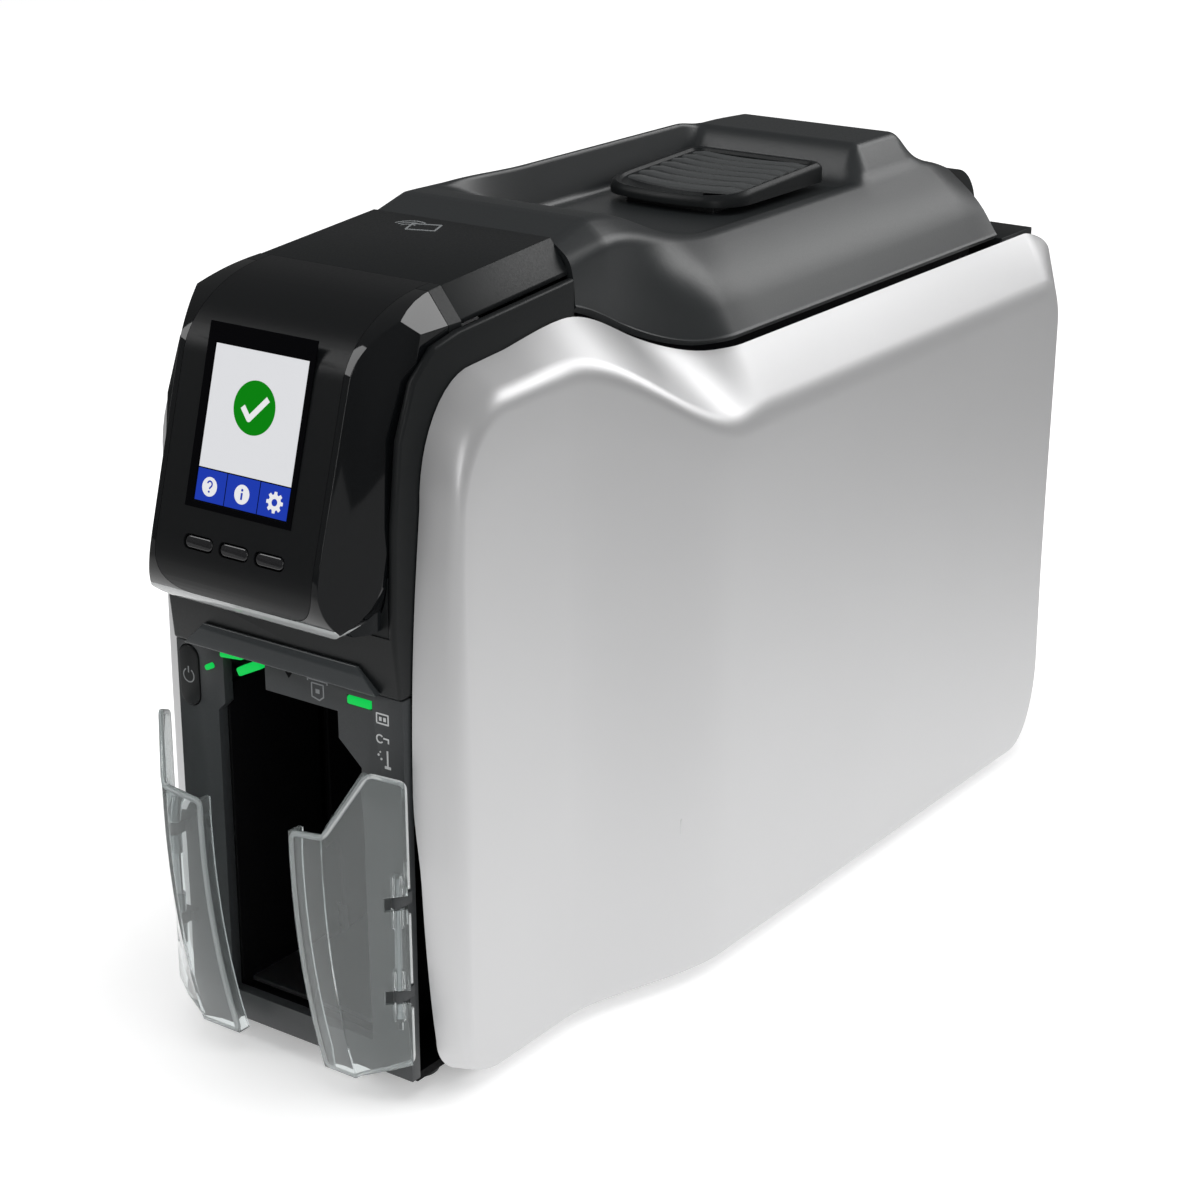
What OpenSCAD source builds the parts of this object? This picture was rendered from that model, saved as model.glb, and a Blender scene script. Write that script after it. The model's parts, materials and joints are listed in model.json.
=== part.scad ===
/* [Body] */
// Overall width across the two side panels
body_w = 158; // [156:1:162]
// Overall depth, from the hopper doors to the back cover
body_d = 399; // [397:1:403]
// Overall height, at the crest of the lid's hood
body_h = 269; // [268:0.5:270]
// Half width of the side panel's front edge
front_half_w = 48; // [47.8:0.1:48.4]
// Half width of the side panel's face at the front
face_half_w = 62; // [60:0.5:64]
// Wall of the side panels and the other skins
skin_t = 2.4; // [2:0.1:2.8]

/* [Lid] */
// Half width of the lid's top, between the two ridges
ridge_half_w = 40; // [38:0.5:42]
// Height of the two ridges
ridge_z = 253; // [252:0.5:254]
// Travel of the ribbed release pad
pad_travel = 2.5; // [2:0.1:3]
// Radius of the barrel at the back of the lid
barrel_r = 19; // [18:0.5:19.5]

/* [Display] */
// Lean of the display's face, in degrees
face_lean = 16; // [15.5:0.5:16.5]
// Width of the screen
screen_w = 38; // [36:0.5:39]
// Height of the screen
screen_h = 49; // [46:0.5:50]

/* [Card path] */
// Width of a card
card_w = 54; // [53.9:0.1:54.1]
// Height of the card path
path_z = 130; // [129:0.5:131]
// Radius of the drive rollers
roller_r = 7; // [6.5:0.5:7]
// Shaft diameter of the rollers and gears
shaft_d = 4; // [4:0.5:5]
// Gap between a shaft and its bushing, on the radius
run_gap = 0.05; // [0.03:0.01:0.08]

/* [Hidden] */
$fn = 48;

// Ends of the object along Y, and the side panel's front edge at half height
front_y = -body_d / 2;
back_y = body_d / 2;
panel_y = front_y + 25.5;
// Levels
foot_z = 3;
tray_z = 6;
rear_rim_z = 221;
hump_z = 243;
// Half widths of the side panel's rim and face at the back
rear_rim_w = 66;
rear_face_w = body_w / 2;
// Height at which the side panel's front edge stands furthest forward
bow_z = 107;
// The steel chassis walls
wall_x = 37;
wall_t = 1.5;
wall_out = wall_x + wall_t;
// Hinge line of the lid
hinge_y = back_y - 22.5;
hinge_z = 226;
hinge_pin_d = 6;
// Latch at the lid's front, and its pin
latch_y = -54;
latch_z = 224;
latch_pin_d = 3;
// Display: the face's top line, its foot and the head's outline
head_half_w = 44.3;
head_front_w = 34.3;
head_foot_z = 161;
head_seam_y = front_y + 58.5;
hood_y = -85;
face_top_z = 247;
face_foot_z = 178;
visor_t = 2.2;
// Card bay
bay_half_w = card_w / 2 + 2;
bay_back_y = -84;
bezel_y = panel_y - 3;
bezel_t = 4;
bezel_top_z = 140.5;
// Hopper doors
door_t = 1.8;
door_axis_x = 47;
door_axis_y = bezel_y - 5;
door_free_x = 18.7;
right_face_x = 33.4;
left_face_x = 36.4;
door_top_z = 99;
door_pin_d = 2.4;
// Gears: teeth of one module, all on the outside of the left wall
tooth_module = 1;
gear_teeth = 20;
pinion_teeth = 10;
gear_pitch = tooth_module * gear_teeth;
gear_x = -46;
gear_w = 5;
roller_z = path_z - roller_r;
card_gap = 0.8;
pickup_rise = 2 * roller_r + card_gap;
pickup_y = -4 * gear_pitch - sqrt(gear_pitch * gear_pitch - pickup_rise * pickup_rise);
pickup_z = roller_z + pickup_rise;
motor_y = gear_pitch;
idler_z = roller_z - gear_pitch;
motor_z = idler_z - (gear_pitch + tooth_module * pinion_teeth) / 2;
// Ribbon spindles
supply_y = 58;
takeup_y = -54;
spool_z = 174;
// Colours
silver = "silver";
charcoal = "#2b2d30";
ink = "#101112";
steel = "#9a9da0";
white_plastic = "#d8d8d4";

function smooth(t) = let (u = min(1, max(0, t))) u * u * (3 - 2 * u);
function mix(a, b, t) = a + (b - a) * t;
function mirrored(p) = concat(p, [for (i = [len(p) - 1:-1:0]) [-p[i][0], p[i][1]]]);
function at_y(p, y) = [for (q = p) [q[0], y, q[1]]];
// Angle of a gear's first tooth that meshes it with a gear whose tooth is at a
function meshed(a, direction, teeth, mate_teeth) =
  direction + 180 - 360 / teeth * ((a - direction) * mate_teeth / 360 + 0.5);

// Solid through a list of rings, each with the same even number of points. The ends are closed by a
// strip from point to point across the ring, so a ring runs up one side and down the other. Seen
// along the way from the first ring to the last, it runs anticlockwise.
module loft(rings) {
  n = len(rings[0]);
  m = len(rings);
  sides = [for (j = [0:m - 2], i = [0:n - 1])
    let (a = j * n + i, b = j * n + (i + 1) % n)
    each [[a, b, b + n], [a, b + n, a + n]]];
  strip = [for (i = [0:n / 2 - 2]) each [[i, i + 1, n - 2 - i], [i, n - 2 - i, n - 1 - i]]];
  start = [for (f = strip) [f[0], f[2], f[1]]];
  end = [for (f = strip) [for (i = f) i + (m - 1) * n]];
  polyhedron([for (r = rings) each r], concat(start, sides, end));
}

// Outline in Y and Z, run along X
module along_x(x, length) {
  translate([x, 0, 0]) rotate([90, 0, 90]) linear_extrude(length) children();
}

// Outline in X and Z, run along Y
module along_y(y, length) {
  translate([0, y + length, 0]) rotate([90, 0, 0]) linear_extrude(length) children();
}

module rod_x(x, y, z, r, length) {
  along_x(x, length) translate([y, z]) circle(r);
}

module box(x, y, z) {
  translate([x[0], y[0], z[0]]) cube([x[1] - x[0], y[1] - y[0], z[1] - z[0]]);
}

module both_sides() {
  children();
  mirror([1, 0, 0]) children();
}

// Side panel: each column of its outline runs from the top rim over the crease to the bottom rim
function rim_w(y) = mix(front_half_w, rear_rim_w, smooth((y - panel_y - 112) / 45))
  + 6 * smooth((y - back_y + 12) / 12);
function face_w(y) = mix(face_half_w, rear_face_w, smooth((y - panel_y - 62) / 70));
function rim_top(y) = let (t = y - panel_y)
  t < 79 ? mix(238.5, hump_z, smooth((t - 33) / 46)) : mix(hump_z, rear_rim_z, smooth((t - 79) / 65));
function crease_top(y) = mix(231.5, 200, smooth((y - panel_y - 66) / 75));
function bow(z) = pow((z - bow_z) / 36, 2);
function front_column(h) = let (rim_y = panel_y + bow(bow_z + h), crease_y = panel_y + 7 + bow(bow_z + h) / 4)
  [[rim_y, bow_z + h], [crease_y, bow_z + h], [crease_y, bow_z - h], [rim_y, bow_z - h]];
function front_corner(a) = let (c = cos(a), s = sin(a), y0 = panel_y + 33)
  [[y0 - 26.5 * c, 200 + 38.5 * s], [y0 - 24 * c, 198 + 33 * s],
   [y0 - 7 - 17.5 * c, 24 - 19 * s], [y0 - 7 - 20 * c, 20 - 17 * s]];
function straight_column(y) = [[y, rim_top(y)], [y, crease_top(y)], [y, foot_z + 2], [y, foot_z]];
function rear_corner(a) = let (c = cos(a), s = sin(a))
  [[back_y - 12 + 12 * c, rear_rim_z - 12 + 12 * s], [back_y - 16 + 14 * c, 184 + 16 * s],
   [back_y - 22 + 19.5 * c, 40 - 35 * s], [back_y - 22 + 22 * c, 40 - 37 * s]];
flare_start = panel_y + 49;
panel_columns = concat(
  [for (h = [12, 35, 58, 78]) front_column(h)],
  [for (a = [0:15:90]) front_corner(a)],
  [for (i = [0:14]) straight_column(flare_start + 7.5 * i)],
  [for (y = [20, 80, 140]) straight_column(y)],
  [for (a = [90:-15:0]) rear_corner(a)]);
panel_mid = [(panel_y + back_y) / 2, 110];
function toward_mid(p, t) = let (way = p[0] < panel_mid[0] ? 1 : -1)
  [p[0] + way * t * min(1, abs(p[0] - panel_mid[0]) / 150),
  p[1] + (p[1] < panel_mid[1] ? t : -t)];
function panel_ring(c, inset, reach) = [
  for (k = [3:-1:0])
    let (p = toward_mid(c[k], inset), y = c[k][0])
    [(k == 0 ? rim_w(y) - reach : k == 3 ? face_w(y) - 12 - reach : face_w(y) - inset), p[0], p[1]]];

module side_panel() {
  difference() {
    loft([for (c = panel_columns) panel_ring(c, 0, 0)]);
    loft([for (c = panel_columns) panel_ring(c, skin_t, 6)]);
  }
  // Lugs that hold the panel on the chassis wall
  for (y = [-60, 60, 150]) {
    box([wall_out, face_w(y) - skin_t / 2], [y - 5, y + 5], [60, 66]);
  }
}

module left_side_panel() {
  color(silver) mirror([1, 0, 0]) side_panel();
}

module right_side_panel() {
  color(silver) side_panel();
}

// Head: side outline, cut back on both sides by slanted facets
function face_line(z) = front_y + (face_foot_z + 4 < z ? 0.6 + tan(face_lean) * (z - face_foot_z - 4) : 0);
head_outline = [[head_seam_y, 262], [front_y + 48, 260.5], [front_y + 36, 257], [front_y + 26, 251.5],
  [face_line(face_top_z) + 1, face_top_z], [face_line(244), 244], [face_line(184), 184],
  [front_y, face_foot_z], [front_y + 1, face_foot_z - 8], [front_y + 8, head_foot_z],
  [head_seam_y, head_foot_z]];
head_mid_z = 210;
function shrunk(p, t) = [for (q = p)
  [q[0] + (q[0] < head_seam_y ? t : 0), q[1] + (q[1] < head_mid_z ? t : -t)]];
module head_solid(t) {
  difference() {
    along_x(-head_half_w + t, 2 * (head_half_w - t)) polygon(shrunk(head_outline, t));
    both_sides() {
      translate([head_front_w - t, face_line(face_foot_z + 4) + t * 0.6, face_foot_z]) {
        rotate([-face_lean, 0, 0]) rotate([0, 0, -30]) translate([0, -80, -80]) cube([60, 160, 200]);
      }
      // Chamfer along the top
      translate([36 - t, 0, 262 - t * 0.5]) rotate([0, 52, 0]) translate([-20, front_y - 20, 0]) {
        cube([60, 140, 30]);
      }
    }
  }
}

fascia_half_w = 32;
fascia_foot_z = 167;
module fascia_window(gap) {
  hull() {
    for (s = [-1, 1]) {
      translate([s * (fascia_half_w - gap - 8), fascia_foot_z + gap + 8]) circle(8);
      translate([s * (fascia_half_w - gap - 1), 280]) circle(1);
    }
  }
}
screen_z = 220.7;
button_z = 185;
button_w = 10.5;
button_h = 4;
button_pitch = 14.4;
// Things that lie in the display's face, on a plane that leans with it
module on_face(x, z) {
  translate([x, face_line(z), z]) rotate([90 - face_lean, 0, 0]) children();
}
module menu_button_outline(gap) {
  hull() for (s = [-1, 1]) translate([s * (button_w / 2 - 1.6), 0]) circle(button_h / 2 + gap);
}

module display_housing() {
  color(ink) {
    difference() {
      head_solid(visor_t + 0.2);
      head_solid(visor_t + 2.4);
      for (i = [-1:1]) {
        on_face(i * button_pitch, button_z) {
          translate([0, 0, -8]) linear_extrude(12) menu_button_outline(0.4);
        }
      }
    }
  }
}

module front_fascia() {
  color(ink) {
    difference() {
      intersection() {
        head_solid(0);
        along_y(front_y - 1, 62) fascia_window(0.15);
      }
      head_solid(visor_t);
      on_face(0, screen_z) translate([-screen_w / 2, -screen_h / 2, -1.2]) cube([screen_w, screen_h, 8]);
      for (i = [-1:1]) {
        on_face(i * button_pitch, button_z) {
          translate([0, 0, -8]) linear_extrude(12) menu_button_outline(0.4);
        }
      }
    }
  }
}

module lcd_screen() {
  color(white_plastic) on_face(0, screen_z) {
    translate([-screen_w / 2 + 0.1, -screen_h / 2 + 0.1, -1.2]) cube([screen_w - 0.2, screen_h - 0.2, 1]);
  }
}

module clear_visor() {
  color("#8d9296", 0.5) {
    difference() {
      head_solid(0);
      head_solid(visor_t);
      along_y(front_y - 1, 62) fascia_window(0);
      // The visor's back edge, behind the collar
      box([-50, 50], [front_y + 52, 0], [150, 280]);
    }
  }
}

module menu_button(i) {
  color(ink) on_face(i * button_pitch, button_z) {
    translate([0, 0, -4.2]) linear_extrude(4) menu_button_outline(0);
  }
}

module left_menu_button() {
  menu_button(-1);
}

module middle_menu_button() {
  menu_button(0);
}

module right_menu_button() {
  menu_button(1);
}

// Dark cover between the panels: two cheeks beside the head and the chin below it
cover_half_w = front_half_w - 0.5;
cheek_outline = [[panel_y - 4, bezel_top_z], [panel_y - 6, head_foot_z], [panel_y - 4.5, 195],
  [panel_y - 1, 222], [panel_y + 6, 239], [panel_y + 16, 247.5], [panel_y + 28, 250],
  [hood_y - 2, 254.5], [hood_y - 2, 236], [-106, 226], [-106, bezel_top_z]];
module front_cover() {
  color(charcoal) {
    difference() {
      along_x(-cover_half_w, 2 * cover_half_w) polygon(cheek_outline);
      box([-head_half_w - 0.15, head_half_w + 0.15], [front_y, 0], [head_foot_z, 300]);
      box([-42, 42], [panel_y, 0], [130, 170]);
    }
  }
}

module contactless_ring(y, z, t) {
  loft([for (k = [0, 1])
    let (dy = y[k], dz = z[k])
    at_y(mirrored([[43 - t, 250 + dz - (t > 0 ? 9 : 0)], [43 - t, 251.5 + dz - t * 0.4],
      [36.3 - t * 0.4, 261.4 + dz - t]]), dy)]);
}
module contactless_cover() {
  color(ink) {
    difference() {
      contactless_ring([head_seam_y + 0.4, hood_y], [0, 4.4], 0);
      contactless_ring([head_seam_y - 1, hood_y + 1.5], [-0.1, 4.5], 2.4);
    }
  }
}

module reader_board() {
  color("darkgreen") box([-28, 28], [head_seam_y + 6, hood_y - 7], [258, 259.4]);
}

// Bezel with the card mouth, the buttons' and lights' openings and the door lugs
bezel_half_w = 47.2;
mouth = [[-30, 18], [30, 18], [30, 114], [21, 122], [21, 131], [-9, 131], [-9, bezel_top_z + 1],
  [-27, bezel_top_z + 1], [-27, 122], [-30, 119]];
power_x = -41.9;
power_z = 128.5;
power_r = 4.1;
module power_outline(gap) {
  hull() for (s = [-1, 1]) translate([power_x, power_z + s * 6.3]) circle(power_r + gap);
}
door_lugs = [[40, 44], [73, 77]];
lug_r = 2;
lug_gap = 0.35;
// Wide foot of each lug on the bezel, and the room that the door leaves for it
lug_foot_x = 43;
lug_foot_t = 2.4;
lug_room_r = 5;
knuckle_h = 7;
module lower_bezel() {
  color(charcoal) {
    difference() {
      union() {
        along_y(bezel_y, bezel_t) {
          difference() {
            polygon(mirrored([[bezel_half_w, foot_z + 5], [bezel_half_w, bezel_top_z - 0.3]]));
            polygon(mouth);
            power_outline(0.35);
            translate([25, 134.5]) square([10, 3.2]);
          }
        }
        both_sides() {
          for (z = door_lugs) {
            translate([door_axis_x, door_axis_y, z[0]]) cylinder(r = lug_r, h = z[1] - z[0]);
            box([door_axis_x - lug_r, door_axis_x + lug_r], [door_axis_y, bezel_y + 0.1], z);
            box([lug_foot_x, door_axis_x + lug_r], [bezel_y - lug_foot_t, bezel_y + 0.1], z);
          }
        }
      }
      both_sides() translate([door_axis_x, door_axis_y, 20]) cylinder(d = door_pin_d, h = 80);
    }
  }
}

module door_hinge_pins() {
  color(steel) both_sides() translate([door_axis_x, door_axis_y, door_lugs[0][0] - 6]) {
    cylinder(d = door_pin_d, h = door_lugs[1][1] - door_lugs[0][0] + 12);
  }
}

module power_button() {
  color(ink) along_y(bezel_y - 0.6, 4.2) power_outline(0);
}

function chin_face(z) = mix(panel_y - 4, panel_y - 6, (z - bezel_top_z) / (head_foot_z - bezel_top_z));
module chin_strip() {
  z = [bezel_top_z + 1, bezel_top_z + 9];
  color("#5a5f63", 0.7) {
    intersection() {
      along_y(front_y, 40) polygon([[-40, z[0]], [40, z[0]], [32, z[1]], [-32, z[1]]]);
      along_x(-60, 120) {
        polygon([[chin_face(z[0]), z[0]], [chin_face(z[0]) - 3, z[0]],
          [chin_face(z[1]) - 1.2, z[1]], [chin_face(z[1]), z[1]]]);
      }
    }
  }
}

module status_lights() {
  color("lime") {
    box([-23, -17], [bezel_y - 0.5, bezel_y + 3], [136.5, bezel_top_z]);
    box([25.2, 34.8], [bezel_y - 0.5, bezel_y + 6], [134.7, 137.5]);
  }
}

// Box behind the bezel that the cards stand in
module hopper_box() {
  color(ink) {
    difference() {
      box([-bay_half_w - 2, bay_half_w + 2], [bezel_y + bezel_t, bay_back_y + 2], [14, 127]);
      box([-bay_half_w, bay_half_w], [bezel_y, bay_back_y], [16, 140]);
      box([-bay_half_w, bay_half_w], [bay_back_y - 5, bay_back_y + 5], [path_z - 4, 140]);
      // Slots that the lift plate's arms run in
      both_sides() box([bay_half_w - 1, bay_half_w + 3], [-130.3, -125.7], [21.9, 118]);
    }
  }
}

module lift_plate() {
  color(steel) {
    box([-bay_half_w + 0.6, bay_half_w - 0.6], [bezel_y + 8, bay_back_y - 2], [18, 19.5]);
    both_sides() box([bay_half_w - 1, bay_half_w + 4], [-130, -126], [22, 28]);
    both_sides() box([bay_half_w - 1.6, bay_half_w - 0.6], [-130, -126], [19, 28]);
  }
}

// Right door at rest: a wall that closes in towards the front, a face, and a return at its free edge
function door_front(z) = front_y + 12.5 * pow(max(0, door_top_z - 4 - z) / 86, 2);
function door_edge(z, inset, face_x) = let (f = door_front(z), tail_y = door_axis_y + 1)
  [[door_axis_x + 4.2 - 0.6 * z / door_top_z - inset * 0.9, tail_y],
   [door_axis_x - 3.6 - inset * 0.85, mix(tail_y, f, 0.52)],
   [face_x - inset * 0.8, f + 1.2 + inset * 0.7], [face_x - 1.6 - inset * 0.5, f + inset],
   [door_free_x + inset, f + inset], [door_free_x + inset, f + 5]];
door_tops = [115.6, 120.5, door_top_z + 3, door_top_z + 0.5, door_top_z - 1, door_top_z - 1];
door_feet = [17.5, 14.5, 10, 9, 9, 9];
door_levels = 9;
function door_ring(i, face_x) =
  let (z = [for (k = [0:door_levels]) mix(door_feet[i], door_tops[i], k / door_levels)])
  [for (side = [0, 1], k = [0:door_levels])
    let (h = z[side == 0 ? k : door_levels - k], p = door_edge(h, (1 - side) * door_t, face_x)[i])
    [p[0], p[1], h]];
module hopper_door(face_x) {
  difference() {
    union() {
      loft([for (i = [0:5]) door_ring(i, face_x)]);
      for (z = door_lugs, k = [z[0] - knuckle_h, z[1] + lug_gap]) {
        translate([door_axis_x, door_axis_y, k]) cylinder(r = lug_r, h = knuckle_h - lug_gap);
      }
    }
    translate([door_axis_x, door_axis_y, 30]) cylinder(d = door_pin_d + 2 * run_gap, h = 58);
    // Room for the lugs
    for (z = door_lugs) {
      translate([door_axis_x, door_axis_y, z[0] - lug_gap]) {
        cylinder(r = lug_room_r, h = z[1] - z[0] + 2 * lug_gap);
      }
    }
  }
}
module right_hopper_door() {
  color("#c9d2d6", 0.35) hopper_door(right_face_x);
}

module left_hopper_door() {
  color("#c9d2d6", 0.35) mirror([1, 0, 0]) hopper_door(left_face_x);
}

// Lid: a hood at the front, a recess for the release pad, and a raised block at the back. The left
// shoulder is as high as the hood all the way to the block, the right one is low
lid_gap = 1.2;
recess_z = 250;
pad_half_w = 29;
pad_front_y = 29;
pad_back_y = 96;
function pad_top(y) = 260 - pow(y - pad_back_y, 2) / 1250;
// Plunger under the pad, and its gap in the lid
plunger = [19, 36, 84];
plunger_gap = 0.3;
function hood(y) = 1 - smooth((y + 66) / 70);
function block(y) = smooth((y - 98) / 14) - smooth((y - 138) / 20);
function tail(y) = smooth((y - 150) / 36);
// Height of the lid's middle, and how far the left shoulder keeps the hood's shape and height
function lid_floor(y) = mix(mix(recess_z, body_h - 4, block(y)), body_h, hood(y));
function left_hood(y) = 1 - smooth((y - 122) / 34);
function left_crest(y) = body_h - 1.4 * smooth((y + 40) / 40) - 2.6 * smooth((y - 96) / 20);
// The lid's middle is a little higher than its crowns
lid_camber = 0.2;
function lid_lip(y) = y < -68 ? (-68 - y) / 17 : 0;
function lid_drop(y, t) = 4.5 * lid_lip(y) + 8 * tail(y) + t;
// One side of the lid's section, from its foot up to its crown
function lid_half(y, t, h, crest, crown_out) =
  let (
    foot_w = rim_w(y) - lid_gap - t,
    foot = rim_top(y) + 1.5,
    ridge_w = mix(ridge_half_w, 46, h) - 2.2 * lid_lip(y) - t * 0.7,
    ridge = mix(ridge_z, 262, h) - 2.5 * lid_lip(y) - 9 * tail(y) - t * 0.7)
  [[foot_w, foot - (t > 0 ? 20 : 0)], [foot_w - 0.6, foot + 0.5],
    [mix(foot_w, ridge_w, 0.36), mix(foot, ridge, 0.52)], [ridge_w, ridge],
    [mix(ridge_half_w - 7, 37, h) + crown_out, crest - lid_drop(y, t) - lid_camber]];
function lid_section(y, t) =
  let (
    left = lid_half(y, t, left_hood(y), mix(lid_floor(y), left_crest(y), left_hood(y)), t * 0.9),
    floor = lid_floor(y) - lid_drop(y, t),
    inner_w = ridge_half_w - 10.5)
  concat(lid_half(y, t, hood(y), lid_floor(y), -t * 0.4), [[inner_w + 4 * hood(y), floor]],
    [[-inner_w - 4 * left_hood(y) - t, floor]], [for (i = [4:-1:0]) [-left[i][0], left[i][1]]]);
lid_back_y = 168;
lid_stations = concat([hood_y, -80, -74, -68, -60, -52], [for (y = [-44:8:4]) y],
  [5, 40, 97, 100, 104, 108, 112, 117, 122, 127, 132, 138, 143, 148, 153, 158, 163, lid_back_y]);
module lid_shell() {
  color(charcoal) {
    difference() {
      loft([for (y = lid_stations) at_y(lid_section(y, 0), y)]);
      loft([for (y = concat([hood_y - 1], lid_stations, [lid_back_y + 1])) at_y(lid_section(y, skin_t), y)]);
      box([-plunger[0] - plunger_gap, plunger[0] + plunger_gap],
        [plunger[1] - plunger_gap, plunger[2] + plunger_gap], [235, 256]);
    }
  }
}

// Frame inside the lid, with the hinge barrel and the posts that carry the shell
module lid_frame() {
  color(ink) {
    difference() {
      union() {
        box([-36, 36], [latch_y - 8, hinge_y - 13], [228, 231]);
        for (y = [12, 92]) both_sides() box([26, 31], [y - 4, y + 4], [231, recess_z - skin_t]);
        rod_x(-39.5, hinge_y, hinge_z, barrel_r, 79);
        // Ears for the latch's pin
        both_sides() box([10, 13.5], [latch_y - 5, latch_y + 5], [latch_z - 4, 229]);
      }
      rod_x(-20, latch_y, latch_z, latch_pin_d / 2, 40);
      rod_x(-36.5, hinge_y, hinge_z, barrel_r - 2.4, 73);
      box([-36.5, 36.5], [hinge_y - 30, hinge_y + 4], [200, 228]);
      rod_x(-50, hinge_y, hinge_z, hinge_pin_d / 2 + run_gap, 100);
      // Well for the release pad and the opening for the latch
      box([-22, 22], [32, 88], [220, 235]);
      box([-9.8, 9.8], [latch_y - 7, latch_y + 8], [220, 235]);
    }
    // Ribs that carry the barrel's ends
    both_sides() {
      difference() {
        box([33, 36], [hinge_y - 22, hinge_y], [229, 232]);
        rod_x(0, hinge_y, hinge_z, hinge_pin_d, 50);
      }
    }
  }
}

module release_pad() {
  color(ink) {
    // Grooved top, rising to the back
    difference() {
      intersection() {
        box([-pad_half_w, pad_half_w], [pad_front_y, pad_back_y], [recess_z + pad_travel + 0.3, 262]);
        rod_x(-40, pad_back_y, pad_top(pad_back_y) - 625, 625, 80, $fn = 720);
      }
      for (y = [44:7.2:84]) rod_x(-22, y, pad_top(y) + 1.2, 1.9, 44);
    }
    box([-plunger[0], plunger[0]], [plunger[1], plunger[2]], [240, 253.5]);
  }
}

module latch_pin() {
  color(steel) rod_x(-13.5, latch_y, latch_z, latch_pin_d / 2, 27);
}
module lid_latch() {
  color(steel) {
    difference() {
      union() {
        rod_x(-9.5, latch_y, latch_z, 3.6, 19);
        box([-9.5, 9.5], [latch_y - 3.6, latch_y - 1.6], [196, latch_z]);
        box([-9.5, 9.5], [latch_y - 3.6, latch_y + 3.4], [196, 198]);
      }
      rod_x(-20, latch_y, latch_z, latch_pin_d / 2 + run_gap, 40);
    }
  }
}

// Printhead and the bracket that hangs from the lid's frame
module printhead_bracket() {
  color(steel) {
    difference() {
      both_sides() box([30, 32], [-9, 9], [150, 228]);
      both_sides() box([29, 33], [-3.1, 3.1], [153.5, 160.5]);
    }
    box([-32, 32], [-9, 9], [166, 168]);
  }
}
module printhead() {
  color(steel) {
    along_x(-28.5, 57) {
      polygon([[-7, 136], [-1.5, path_z + card_gap], [1.5, path_z + card_gap], [7, 136],
        [7, 163], [-7, 163]]);
    }
    both_sides() box([28, 32.6], [-2.8, 2.8], [153.8, 158]);
  }
}

// Base: tray, feet and screws
screw_d = 3;
floor_t = 1.5;
module at_screws() {
  for (x = [-28, 28], y = [bay_back_y + 18, back_y - 27.5]) translate([x, y, 0]) children();
}
module base_tray() {
  color(ink) {
    difference() {
      union() {
        box([-46, 46], [bezel_y + bezel_t, back_y - 4], [tray_z, tray_z + 3]);
        box([-58, 58], [-40, back_y - 4], [tray_z, tray_z + 3]);
      }
      at_screws() cylinder(d = screw_d + 0.2, h = 20);
    }
  }
}

module rubber_feet() {
  color(ink) for (x = [-34, 34], y = [-158, back_y - 16]) translate([x, y, 0]) cylinder(d = 14, h = tray_z);
}

module case_screws() {
  color(steel) at_screws() {
    translate([0, 0, tray_z - 2]) cylinder(d = 6, h = 2);
    translate([0, 0, tray_z - 1]) cylinder(d = screw_d, h = 4 + floor_t);
  }
}

chassis_back_y = back_y - 8;
chassis_outline = [[bay_back_y + 4, tray_z + 3], [chassis_back_y, tray_z + 3], [chassis_back_y, 205],
  [40, 205], [-62, 205], [-80, 190], [-112, 160], [-112, 128.5], [bay_back_y + 4, 128.5]];
module chassis_frame() {
  color(steel) {
    difference() {
      union() {
        both_sides() along_x(wall_x, wall_t) polygon(chassis_outline);
        // Floor and cross members
        box([-wall_out, wall_out], [bay_back_y + 4, chassis_back_y], [tray_z + 3, tray_z + 3 + floor_t]);
        box([-wall_out, wall_out], [-20, -18], [tray_z + 3, 60]);
        box([-wall_out, wall_out], [board_y - 10, board_y - 8], [tray_z + 3, 150]);
        // Catch for the lid's latch
        box([-wall_out, wall_out], [latch_y + 3.8, latch_y + 10], [198.4, 200]);
        // Ears for the lid's hinge pins
        both_sides() {
          box([wall_x, 44], [hinge_y - 8, hinge_y + 8], [203, 205]);
          box([41, 44], [hinge_y - 8, hinge_y + 8], [203, hinge_z]);
          rod_x(41, hinge_y, hinge_z, 8, 3);
        }
      }
      rod_x(-60, hinge_y, hinge_z, hinge_pin_d / 2, 120);
      at_screws() cylinder(d = screw_d + 0.1, h = 20);
      for (y = [-2, -1, 0, 1, 2]) {
        rod_x(-60, y * gear_pitch, roller_z, shaft_d / 2 + run_gap, 120);
      }
      for (y = [-3, -4]) rod_x(-60, y * gear_pitch, roller_z, shaft_d / 2 + run_gap, 60);
      rod_x(-60, motor_y, idler_z, shaft_d / 2 + run_gap, 60);
      rod_x(-60, motor_y, motor_z, shaft_d / 2 + run_gap, 60);
      rod_x(-60, pickup_y, pickup_z, shaft_d / 2 + run_gap, 120);
      rod_x(-60, clean_y, clean_z, shaft_d / 2 + run_gap, 120);
      for (y = [supply_y, takeup_y]) rod_x(-60, y, spool_z, shaft_d / 2 + run_gap, 120);
      for (y = [-2, 2]) rod_x(-60, y * gear_pitch, pinch_z, shaft_d / 2 + run_gap, 120);
    }
  }
}

module lid_hinge_pins() {
  color(steel) both_sides() rod_x(36.8, hinge_y, hinge_z, hinge_pin_d / 2, 8);
}

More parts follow.
